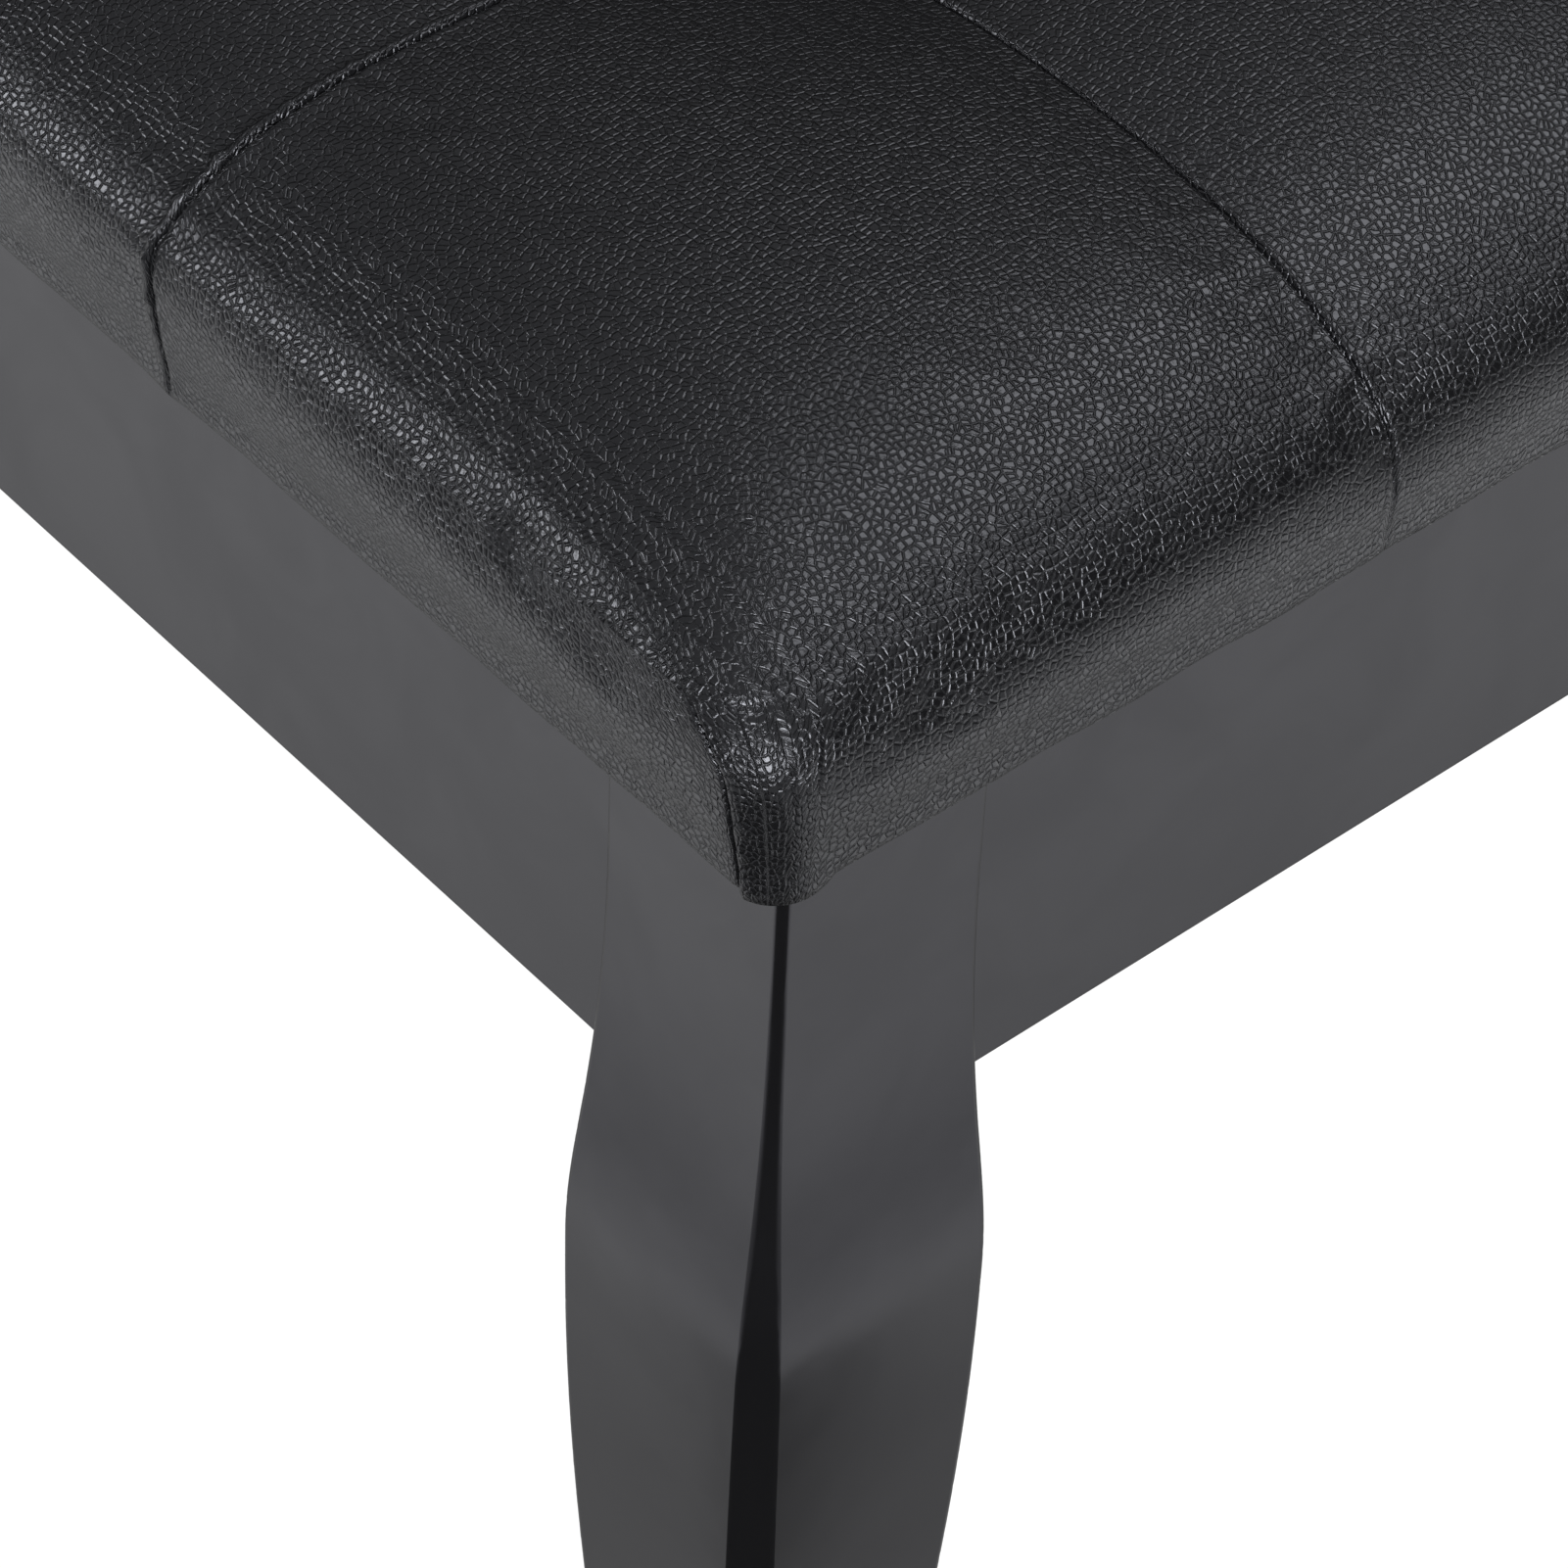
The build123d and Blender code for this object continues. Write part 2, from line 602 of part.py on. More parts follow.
# ---------------------------------------------------------------- hinges
def hinge_leaf(hinge_x, bottom, own_knuckles, other_knuckles):
    """A hinge leaf with its knuckles, notched for those of the other leaf."""
    start = hinge_x - hinge_length / 2
    with BuildPart(mode=Mode.PRIVATE) as leaf:
        with BuildSketch(Plane.XY.offset(bottom)):
            with Locations((hinge_x, hinge_y - leaf_width / 2)):
                Rectangle(hinge_length, leaf_width)
        extrude(amount=leaf_thickness)
        for index in other_knuckles:
            with BuildSketch(Plane.YZ.offset(start + index * knuckle_length)):
                with Locations((hinge_y, hinge_z)):
                    Circle(knuckle_radius + knuckle_gap)
            extrude(amount=knuckle_length, mode=Mode.SUBTRACT)
        for index in own_knuckles:
            with BuildSketch(Plane.YZ.offset(start + index * knuckle_length + knuckle_gap / 2)):
                with Locations((hinge_y, hinge_z)):
                    Circle(knuckle_radius)
            extrude(amount=knuckle_length - knuckle_gap)
        with BuildSketch(Plane.YZ.offset(start)):
            with Locations((hinge_y, hinge_z)):
                Circle(pin_radius + pin_fit)
        extrude(amount=hinge_length, mode=Mode.SUBTRACT)
    return leaf.part


def frame_screw_planes(hinge_x):
    """Planes of the heads of the three screws in the leaf on the back apron."""
    return [Plane(origin=(hinge_x + step * leaf_screw_pitch, leaf_screw_y,
                          frame_leaf_bottom + leaf_thickness)) for step in (-1, 0, 1)]


def sunk_screw(plane, clearance=0.0):
    """One of the small countersunk screws, or with a clearance the hole that it needs."""
    return countersunk_screw(plane, leaf_screw_head + clearance, leaf_screw_radius + clearance,
                             leaf_screw_length, leaf_thickness - thread_clearance)


for side, hinge_x in hinge_places.items():
    frame_leaf_part = hinge_leaf(hinge_x, frame_leaf_bottom, range(0, knuckles, 2), range(1, knuckles, 2))
    lid_leaf_part = hinge_leaf(hinge_x, seat_height - leaf_thickness, range(1, knuckles, 2),
                               range(0, knuckles, 2))
    with BuildPart() as frame_leaf:
        add(frame_leaf_part)
        for plane in frame_screw_planes(hinge_x):
            add(sunk_screw(plane, thread_clearance), mode=Mode.SUBTRACT)
    write(frame_leaf, f"hinge_{side}_frame_leaf")
    with BuildPart() as lid_leaf:
        add(lid_leaf_part)
        for plane in lid_screw_planes:
            add(sunk_screw(plane, thread_clearance), mode=Mode.SUBTRACT)
    write(lid_leaf, f"hinge_{side}_lid_leaf")
    with BuildPart() as hinge_pin:
        with BuildSketch(Plane.YZ.offset(hinge_x - hinge_length / 2)):
            with Locations((hinge_y, hinge_z)):
                Circle(pin_radius)
        extrude(amount=hinge_length)
        for end in (-1, 1):
            with BuildSketch(Plane.YZ.offset(hinge_x + end * hinge_length / 2)):
                with Locations((hinge_y, hinge_z)):
                    Circle(knuckle_radius - knuckle_gap)
            extrude(amount=end * pin_radius)
    write(hinge_pin, f"hinge_{side}_pin")

with BuildPart() as hinge_frame_screws:
    for hinge_x in hinge_places.values():
        for plane in frame_screw_planes(hinge_x):
            add(sunk_screw(plane))
write(hinge_frame_screws, "hinge_frame_screws")

with BuildPart() as hinge_lid_screws:
    for plane in lid_screw_planes:
        add(sunk_screw(plane))
write(hinge_lid_screws, "hinge_lid_screws")

# ---------------------------------------------------------------- friction stay
stay_box_planes = [
    Plane(origin=(plate_x, stay_box_y, stay_box_z + step * stay_screw_pitch / 2), z_dir=(-1, 0, 0))
    for step in (-1, 1)]


def arm(x, start, end, start_hole, end_hole):
    """A flat arm of the stay between two pivots given as (y, z)."""
    middle = ((start[0] + end[0]) / 2, (start[1] + end[1]) / 2)
    turn = math.degrees(math.atan2(end[1] - start[1], end[0] - start[0]))
    with BuildPart(mode=Mode.PRIVATE) as bar:
        with BuildSketch(Plane.YZ.offset(x)):
            with Locations(middle):
                SlotCenterToCenter(math.dist(start, end), stay_width, rotation=turn)
            with Locations(start):
                Circle(start_hole, mode=Mode.SUBTRACT)
            with Locations(end):
                Circle(end_hole, mode=Mode.SUBTRACT)
        extrude(amount=stay_arm_thickness)
    return bar.part


def stay_pin(x, length, place, head_at):
    """A pin from x along its length with a head of the stay's size at one end."""
    with BuildPart(mode=Mode.PRIVATE) as pin:
        with BuildSketch(Plane.YZ.offset(x)):
            with Locations(place):
                Circle(stay_pin_radius)
        extrude(amount=length)
        for head_x, thickness in head_at:
            with BuildSketch(Plane.YZ.offset(head_x)):
                with Locations(place):
                    Circle(stay_head_radius)
            extrude(amount=thickness)
    return pin.part


box_pivot = (stay_box_y, stay_box_z)
lid_pivot = (stay_lid_y, stay_lid_z)
elbow = (elbow_y, elbow_z)

with BuildPart() as stay_box_bracket:
    with BuildSketch(Plane.YZ.offset(plate_x)):
        with Locations(box_pivot):
            RectangleRounded(stay_foot_width, stay_foot_length, stay_foot_corner)
    extrude(amount=stay_plate)
    add(stay_pin(plate_x, lower_arm_x - head_play - plate_x, box_pivot,
                 [(lower_arm_x - head_play, -stay_head)]))
    for plane in stay_box_planes:
        add(sunk_screw(plane, thread_clearance), mode=Mode.SUBTRACT)
write(stay_box_bracket, "stay_box_bracket")

with BuildPart() as stay_lower_arm:
    add(arm(lower_arm_x, box_pivot, elbow, stay_pin_radius + pin_fit, stay_pin_radius + pin_fit))
write(stay_lower_arm, "stay_lower_arm")

with BuildPart() as stay_upper_arm:
    add(arm(upper_arm_x, lid_pivot, elbow, stay_pin_radius + pin_fit, stay_pin_radius + elbow_clearance))
write(stay_upper_arm, "stay_upper_arm")

rivet_start = upper_arm_x - head_play
rivet_end = lower_arm_x + stay_arm_thickness
with BuildPart() as stay_elbow_rivet:
    add(stay_pin(rivet_start, rivet_end - rivet_start, elbow,
                 [(rivet_start, -stay_head), (rivet_end, stay_head - head_play)]))
write(stay_elbow_rivet, "stay_elbow_rivet")

with BuildPart() as stay_lid_bracket:
    with BuildSketch(Plane.XY.offset(seat_height - stay_plate)):
        with Locations((tab_x - stay_foot_width / 2, stay_lid_y)):
            Rectangle(stay_foot_width, stay_foot_length)
    extrude(amount=stay_plate)
    with BuildSketch(Plane.YZ.offset(tab_x - stay_plate)):
        with Locations((stay_lid_y, (seat_height + stay_lid_z) / 2)):
            Rectangle(2 * stay_ear, seat_height - stay_lid_z)
        with Locations(lid_pivot):
            Circle(stay_ear)
    extrude(amount=stay_plate)
    add(stay_pin(tab_x, upper_arm_x + stay_arm_thickness + head_play - tab_x, lid_pivot,
                 [(upper_arm_x + stay_arm_thickness + head_play, stay_head)]))
    for plane in stay_lid_planes:
        add(sunk_screw(plane, thread_clearance), mode=Mode.SUBTRACT)
write(stay_lid_bracket, "stay_lid_bracket")

with BuildPart() as stay_box_screws:
    for plane in stay_box_planes:
        add(sunk_screw(plane))
write(stay_box_screws, "stay_box_screws")

with BuildPart() as stay_lid_screws:
    for plane in stay_lid_planes:
        add(sunk_screw(plane))
write(stay_lid_screws, "stay_lid_screws")
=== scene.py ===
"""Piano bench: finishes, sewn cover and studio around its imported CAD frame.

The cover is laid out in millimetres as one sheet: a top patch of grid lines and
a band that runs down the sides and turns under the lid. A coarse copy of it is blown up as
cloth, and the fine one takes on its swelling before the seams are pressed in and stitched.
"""
import json
import logging
import math
from dataclasses import dataclass
from enum import Enum

import bpy
import numpy as np
from mathutils import Matrix, Vector


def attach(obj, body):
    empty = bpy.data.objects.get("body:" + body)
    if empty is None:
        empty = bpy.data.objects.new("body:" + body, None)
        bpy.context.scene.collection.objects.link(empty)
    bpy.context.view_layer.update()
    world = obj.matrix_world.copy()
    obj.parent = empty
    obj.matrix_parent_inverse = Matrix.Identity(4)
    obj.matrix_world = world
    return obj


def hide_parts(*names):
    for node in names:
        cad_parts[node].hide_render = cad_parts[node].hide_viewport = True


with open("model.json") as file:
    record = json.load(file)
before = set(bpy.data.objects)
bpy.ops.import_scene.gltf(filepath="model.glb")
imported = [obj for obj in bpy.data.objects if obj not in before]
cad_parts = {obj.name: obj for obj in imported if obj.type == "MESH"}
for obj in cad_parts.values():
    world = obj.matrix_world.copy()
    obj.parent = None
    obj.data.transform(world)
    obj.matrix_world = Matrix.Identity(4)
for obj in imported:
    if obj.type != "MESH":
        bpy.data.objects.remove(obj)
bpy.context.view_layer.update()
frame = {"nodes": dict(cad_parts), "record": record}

log = logging.getLogger("piano_bench")
MM = 0.001
SAME = 1e-6    # mm; closer than this is the same place
WHITE = (1.0, 1.0, 1.0, 1.0)
Colour = tuple[float, float, float]


class Slot(Enum):
    """The record's material slots."""

    LACQUER = "black_lacquered_wood"
    PINE = "bare_pine"
    PLYWOOD = "plywood"
    FELT = "felt_lined_hardboard"
    FOAM = "foam"
    LEATHER = "black_leatherette"
    LINING = "black_lining_cloth"
    NYLON = "black_nylon"
    RUBBER = "bumper_rubber"
    BRASS = "hinge_steel"
    STAY = "stay_steel"
    ZINC = "zinc_steel"
    STAPLE = "staple_wire"


class Side(Enum):
    """Sides of the cover's band, in the order in which its points run round."""

    FRONT = 0
    RIGHT = 1
    BACK = 2
    LEFT = 3


# ------------------------------------------------------------------------- shader helpers
def feed(tree: bpy.types.NodeTree, node: bpy.types.Node, inputs: dict) -> None:
    """Set a node's inputs.

    Args:
        tree: the node tree.
        node: the node.
        inputs: values, or the sockets that feed them, by the input's name or number.
    """
    for name, value in inputs.items():
        if isinstance(value, bpy.types.NodeSocket):
            tree.links.new(value, node.inputs[name])
        else:
            node.inputs[name].default_value = value


def put(tree: bpy.types.NodeTree, kind: str, props: dict | None = None,
        inputs: dict | None = None) -> bpy.types.Node:
    """Add a node to a tree.

    Args:
        tree: the node tree.
        kind: the node's type, without its ShaderNode prefix.
        props: properties to set on the node.
        inputs: values for its inputs, or the sockets that feed them, by name or number.

    Returns:
        The new node.
    """
    node = tree.nodes.new("ShaderNode" + kind)
    for name, value in (props or {}).items():
        setattr(node, name, value)
    feed(tree, node, inputs or {})
    return node


def maths(tree: bpy.types.NodeTree, operation: str, *values: object) -> bpy.types.NodeSocket:
    """Result socket of a Math node that works on the given values or sockets."""
    return put(tree, "Math", {"operation": operation}, dict(enumerate(values))).outputs[0]


def remap(tree: bpy.types.NodeTree, value: bpy.types.NodeSocket, low: float, high: float,
          to_low: float = 0.0, to_high: float = 1.0) -> bpy.types.NodeSocket:
    """Add a smooth Map Range node.

    Args:
        tree: the node tree.
        value: the socket to map.
        low: value that gives to_low.
        high: value that gives to_high.
        to_low: result at and below low.
        to_high: result at and above high.

    Returns:
        The node's result socket.
    """
    node = put(tree, "MapRange", {"interpolation_type": "SMOOTHSTEP"},
               {"Value": value, "From Min": low, "From Max": high,
                "To Min": to_low, "To Max": to_high})
    return node.outputs["Result"]


def blend(tree: bpy.types.NodeTree, mask: object, first: object, second: object) -> bpy.types.NodeSocket:
    """Value socket that goes from the first to the second value with the mask."""
    return put(tree, "Mix", {"data_type": "FLOAT"}, {0: mask, 2: first, 3: second}).outputs[0]


def blend_colour(tree: bpy.types.NodeTree, mask: object, first: object,
                 second: object) -> bpy.types.NodeSocket:
    """Mix two colours.

    Args:
        tree: the node tree.
        mask: share of the second colour.
        first: colour, or the socket that gives it.
        second: colour, or the socket that gives it.

    Returns:
        The mixed colour's socket.
    """
    colours = {number: value if isinstance(value, bpy.types.NodeSocket) else (*value, 1.0)
               for number, value in ((6, first), (7, second))}
    return put(tree, "Mix", {"data_type": "RGBA"}, {0: mask, **colours}).outputs[2]


class EffectGroup:
    """A shader node group with named inputs and outputs, used by several materials."""

    def __init__(self, name: str, inputs: dict[str, float | None], outputs: tuple[str, ...]) -> None:
        """Make an empty group.

        Args:
            name: the group's name.
            inputs: its inputs and their defaults; None marks a vector.
            outputs: its outputs, which are all values.
        """
        self.tree = bpy.data.node_groups.new(name, "ShaderNodeTree")
        for key, default in inputs.items():
            kind = "NodeSocketVector" if default is None else "NodeSocketFloat"
            socket = self.tree.interface.new_socket(key, in_out="INPUT", socket_type=kind)
            if default is not None:
                socket.default_value = default
        for key in outputs:
            self.tree.interface.new_socket(key, in_out="OUTPUT", socket_type="NodeSocketFloat")
        self.inputs = self.tree.nodes.new("NodeGroupInput").outputs
        self.outputs = self.tree.nodes.new("NodeGroupOutput").inputs

    def scale(self, name: str) -> bpy.types.NodeSocket:
        """Scale that gives a texture the size in one of the group's inputs."""
        return maths(self.tree, "DIVIDE", 1.0, self.inputs[name])

    def give(self, name: str, socket: bpy.types.NodeSocket) -> None:
        """Feed one of the group's outputs."""
        self.tree.links.new(socket, self.outputs[name])

    def use(self, tree: bpy.types.NodeTree, inputs: dict) -> bpy.types.Node:
        """Place the group in a material's tree with its own values."""
        return put(tree, "Group", {"node_tree": self.tree}, inputs)


def make_specks() -> EffectGroup:
    """Scattered dots of dust or lint.

    Returns:
        A group whose mask is 1 in a dot of the given size, in a share of the cells.
    """
    group = EffectGroup("dust_specks", {"Vector": None, "Spacing": 0.02, "Size": 0.0003,
                                        "Share": 0.3}, ("Mask",))
    tree = group.tree
    scale = group.scale("Spacing")
    dots = put(tree, "TexVoronoi", inputs={"Vector": group.inputs["Vector"], "Scale": scale})
    size = maths(tree, "MULTIPLY", group.inputs["Size"], scale)
    inside = maths(tree, "LESS_THAN", dots.outputs["Distance"], size)
    lot = put(tree, "SeparateColor", inputs={0: dots.outputs["Color"]}).outputs[0]
    chosen = maths(tree, "LESS_THAN", lot, group.inputs["Share"])
    group.give("Mask", maths(tree, "MULTIPLY", inside, chosen))
    return group


def make_smudges() -> EffectGroup:
    """Broad cloudy patches, as handling leaves on a polished or coated surface.

    Returns:
        A group whose mask has patches of the given size.
    """
    group = EffectGroup("smudges", {"Vector": None, "Size": 0.05, "Contrast": 0.25}, ("Mask",))
    tree = group.tree
    cloud = put(tree, "TexNoise", inputs={"Vector": group.inputs["Vector"], "Scale": group.scale("Size"),
                                          "Detail": 4.0, "Roughness": 0.6, "Distortion": 0.6})
    low = maths(tree, "SUBTRACT", 0.5, group.inputs["Contrast"])
    high = maths(tree, "ADD", 0.5, group.inputs["Contrast"])
    group.give("Mask", remap(tree, cloud.outputs[0], low, high))
    return group


def make_pebble_grain() -> EffectGroup:
    """Pebbled leather grain: cells parted by creases, with finer creases on their backs.

    Returns:
        A group that gives the grain's height and a mask of its creases.
    """
    group = EffectGroup("pebble_grain", {"Vector": None, "Cell": 0.0014}, ("Height", "Crease"))
    tree, place = group.tree, group.inputs["Vector"]
    wander = put(tree, "TexNoise", {"noise_dimensions": "2D"},
                 {"Vector": place, "Scale": 700.0, "Detail": 2.0})
    shifted = put(tree, "VectorMath", {"operation": "MULTIPLY_ADD"},
                  {0: wander.outputs["Color"], 1: (0.0003, 0.0003, 0.0), 2: place})
    scale = group.scale("Cell")
    edges = []
    for finer in (1.0, 2.3):
        cells = put(tree, "TexVoronoi", {"voronoi_dimensions": "2D", "feature": "DISTANCE_TO_EDGE"},
                    {"Vector": shifted.outputs[0], "Scale": maths(tree, "MULTIPLY", scale, finer),
                     "Randomness": 0.8})
        edges.append(cells.outputs["Distance"])
    depth = put(tree, "TexNoise", {"noise_dimensions": "2D"},
                {"Vector": place, "Scale": maths(tree, "MULTIPLY", scale, 0.8)}).outputs[0]
    fall = maths(tree, "POWER", remap(tree, edges[0], 0.0, 0.45, 1.0, 0.0), 3.8)
    fine = maths(tree, "MULTIPLY", remap(tree, edges[1], 0.0, 0.25), remap(tree, depth, 0.4, 0.7, 0.0, 0.22))
    uneven = maths(tree, "MULTIPLY_ADD", depth, 0.7, fine)
    group.give("Height", maths(tree, "SUBTRACT", uneven, fall))
    line = remap(tree, edges[0], 0.01, 0.07, 1.0, 0.0)
    thin = maths(tree, "MULTIPLY", remap(tree, edges[1], 0.0, 0.1, 1.0, 0.0),
                 remap(tree, depth, 0.4, 0.7, 0.0, 0.4))
    group.give("Crease", maths(tree, "MAXIMUM", line, thin))
    return group


def make_timber_grain() -> EffectGroup:
    """Long timber fibres along X with growth rings across them.

    Returns:
        A group that gives a mask of the rings and the fibres' height.
    """
    group = EffectGroup("timber_grain", {"Vector": None, "Pitch": 0.006}, ("Mask", "Height"))
    tree, scale = group.tree, group.scale("Pitch")
    drawn = put(tree, "Mapping", inputs={"Vector": group.inputs["Vector"],
                                         "Scale": (0.06, 1.0, 1.0)}).outputs[0]
    rings = put(tree, "TexNoise", inputs={"Vector": drawn, "Scale": scale, "Detail": 3.0,
                                          "Distortion": 1.2})
    fibres = put(tree, "TexNoise", inputs={"Vector": drawn, "Scale": maths(tree, "MULTIPLY", scale, 9.0)})
    group.give("Mask", remap(tree, rings.outputs[0], 0.35, 0.68))
    group.give("Height", fibres.outputs[0])
    return group


# ------------------------------------------------------------------------------- finishes
class Coat:
    """A material in the making: its tree, its Principled shader and the shared effects."""

    def __init__(self, name: str, kit: dict[str, EffectGroup]) -> None:
        """Start a material.

        Args:
            name: the material's name.
            kit: the shared effects by name.
        """
        self.kit = kit
        self.made = bpy.data.materials.new(name)
        self.made.use_nodes = True
        self.tree = self.made.node_tree
        self.shader = self.tree.nodes["Principled BSDF"]
        places = put(self.tree, "TexCoord").outputs
        self.space, self.flat = places["Object"], places["UV"]

    def effect(self, name: str, **inputs: object) -> bpy.types.bpy_prop_collection:
        """Outputs of a shared effect, placed with its own values."""
        return self.kit[name].use(self.tree, inputs).outputs

    def noise(self, scale: float, **inputs: object) -> bpy.types.NodeSocket:
        """Noise in the object's space, finer with a greater scale."""
        return put(self.tree, "TexNoise", inputs={"Vector": self.space, "Scale": scale, **inputs}).outputs[0]

    def feed(self, inputs: dict) -> None:
        """Set the shader's inputs, or link them, by name."""
        feed(self.tree, self.shader, inputs)

    def rough(self, mask: bpy.types.NodeSocket, low: float, high: float) -> None:
        """Roughness that goes from low to high with a mask."""
        self.feed({"Roughness": remap(self.tree, mask, 0.0, 1.0, low, high)})

    def bump(self, height: bpy.types.NodeSocket, depth: float, strength: float = 1.0) -> None:
        """Raise the surface by a height that runs from 0 to 1, in metres of depth."""
        raised = put(self.tree, "Bump", inputs={"Height": height, "Distance": depth, "Strength": strength})
        self.feed({"Normal": raised.outputs[0]})


@dataclass(frozen=True)
class Finish:
    """What a slot's surface looks like."""

    slot: Slot

    def paint(self, coat: Coat) -> None:
        """Set up a material's shader, which each finish does in its own way."""
        raise NotImplementedError

    def material(self, kit: dict[str, EffectGroup], name: str = "") -> bpy.types.Material:
        """Make the finish's material.

        Args:
            kit: the shared effects by name.
            name: the material's name, if it isn't its slot's.

        Returns:
            The painted material.
        """
        coat = Coat(name or self.slot.value, kit)
        self.paint(coat)
        return coat.made


@dataclass(frozen=True)
class Leatherette(Finish):
    """Coated fabric with a pebbled grain."""

    slot: Slot = Slot.LEATHER
    raised: Colour = (0.004, 0.004, 0.0046)
    # painted shade: the colour that the grain's creases are darkened to
    crease_shade: Colour = (0.0008, 0.0008, 0.0008)
    lint: Colour = (0.30, 0.30, 0.30)
    roughness: float = 0.255
    ior: float = 1.75
    sheen: tuple[float, float, float, float] = (0.9, 0.92, 1.0, 1.0)    # tint of its shine
    cell: float = 0.0014         # size of a pebble, in metres
    depth: float = 0.000115

    def paint(self, coat: Coat) -> None:
        """Black grained coating with a few specks of lint, rougher in its creases and darkened there with
        painted shade.

        Args:
            coat: the material to paint.
        """
        grain = coat.effect("grain", Vector=coat.flat, Cell=self.cell)
        smudge = coat.effect("smudges", Vector=coat.flat, Size=0.09)
        specks = coat.effect("specks", Vector=coat.flat, Spacing=0.03, Size=0.00018, Share=0.35)
        # painted shade: the creases' colour is darkened, as if shade fell in them
        colour = blend_colour(coat.tree, grain["Crease"], self.raised, self.crease_shade)
        worn = remap(coat.tree, smudge[0], 0.0, 1.0, self.roughness - 0.03, self.roughness + 0.03)
        coat.feed({"Base Color": blend_colour(coat.tree, specks[0], colour, self.lint),
                   "Roughness": maths(coat.tree, "MULTIPLY_ADD", grain["Crease"], 0.12, worn),
                   "IOR": self.ior, "Specular Tint": self.sheen})
        coat.bump(grain["Height"], self.depth)


@dataclass(frozen=True)
class Lacquer(Finish):
    """Satin-gloss black lacquer over sanded timber."""

    slot: Slot = Slot.LACQUER
    colour: Colour = (0.006, 0.006, 0.0065)
    dust: Colour = (0.25, 0.25, 0.25)
    roughness: float = 0.2
    sheen: tuple[float, float, float, float] = (0.86, 0.86, 1.0, 1.0)    # tint of its shine
    ripple: float = 90.0         # scale of its unevenness
    depth: float = 0.00006

    def paint(self, coat: Coat) -> None:
        """Near-black coat with a slight ripple, hand marks and a few specks of dust.

        Args:
            coat: the material to paint.
        """
        smudge = coat.effect("smudges", Vector=coat.space, Size=0.035, Contrast=0.3)
        specks = coat.effect("specks", Vector=coat.space, Spacing=0.035, Size=0.0003, Share=0.25)
        coat.feed({"Base Color": blend_colour(coat.tree, specks[0], self.colour, self.dust),
                   "Specular Tint": self.sheen})
        coat.rough(smudge[0], self.roughness - 0.03, self.roughness + 0.05)
        coat.bump(coat.noise(self.ripple), self.depth, 0.6)


@dataclass(frozen=True)
class Timber(Finish):
    """Bare timber or board, with its grain along the bench."""

    pale: Colour
    dark: Colour
    pitch: float = 0.006         # of its growth rings, in metres
    roughness: float = 0.62
    depth: float = 0.00025

    def paint(self, coat: Coat) -> None:
        """Planed surface with growth rings and open fibres.

        Args:
            coat: the material to paint.
        """
        grain = coat.effect("timber", Vector=coat.space, Pitch=self.pitch)
        coat.feed({"Base Color": blend_colour(coat.tree, grain["Mask"], self.pale, self.dark)})
        coat.rough(grain["Mask"], self.roughness - 0.06, self.roughness + 0.08)
        coat.bump(grain["Height"], self.depth, 0.5)


@dataclass(frozen=True)
class Cloth(Finish):
    """Felt, lining cloth or foam: fibres or pores with no shine."""

    pale: Colour
    dark: Colour
    size: float = 0.0012         # of its fibres or pores, in metres
    depth: float = 0.0004

    def paint(self, coat: Coat) -> None:
        """Matt surface with a fine irregular texture.

        Args:
            coat: the material to paint.
        """
        fibres = coat.noise(1.0 / self.size, Detail=5.0, Roughness=0.7)
        patches = coat.effect("smudges", Vector=coat.space, Size=0.04)
        mask = maths(coat.tree, "MULTIPLY_ADD", patches[0], 0.25,
                     remap(coat.tree, fibres, 0.35, 0.7, 0.0, 0.75))
        coat.feed({"Base Color": blend_colour(coat.tree, mask, self.dark, self.pale)})
        coat.rough(mask, 0.95, 0.82)
        coat.bump(fibres, self.depth, 0.8)


@dataclass(frozen=True)
class Moulding(Finish):
    """Moulded nylon or rubber, or a sewing thread."""

    colour: Colour = (0.02, 0.02, 0.021)
    roughness: float = 0.45
    texture: float = 0.0008      # size of its grain, in metres
    depth: float = 0.00005

    def paint(self, coat: Coat) -> None:
        """Fine-textured plastic, rubbed in places.

        Args:
            coat: the material to paint.
        """
        rub = coat.effect("smudges", Vector=coat.space, Size=0.006)
        rubbed = tuple(min(1.0, 1.6 * value + 0.01) for value in self.colour)
        coat.feed({"Base Color": blend_colour(coat.tree, rub[0], self.colour, rubbed)})
        coat.rough(rub[0], self.roughness, self.roughness + 0.12)
        coat.bump(coat.noise(1.0 / self.texture), self.depth, 0.5)


@dataclass(frozen=True)
class PlatedSteel(Finish):
    """Pressed steel with a zinc or brass plating."""

    bright: Colour
    dull: Colour
    roughness: float = 0.28
    lines: float = 2500.0        # scale of its drawn lines
    depth: float = 0.00003

    def paint(self, coat: Coat) -> None:
        """Metal with cloudy plating and faint drawn lines.

        Args:
            coat: the material to paint.
        """
        cloud = coat.effect("smudges", Vector=coat.space, Size=0.008, Contrast=0.3)
        coat.feed({"Metallic": 1.0,
                   "Base Color": blend_colour(coat.tree, cloud[0], self.bright, self.dull)})
        coat.rough(cloud[0], self.roughness, self.roughness + 0.16)
        drawn = put(coat.tree, "Mapping", inputs={"Vector": coat.space, "Scale": (1.0, 0.04, 1.0)})
        coat.bump(coat.noise(self.lines, Vector=drawn.outputs[0]), self.depth, 0.5)


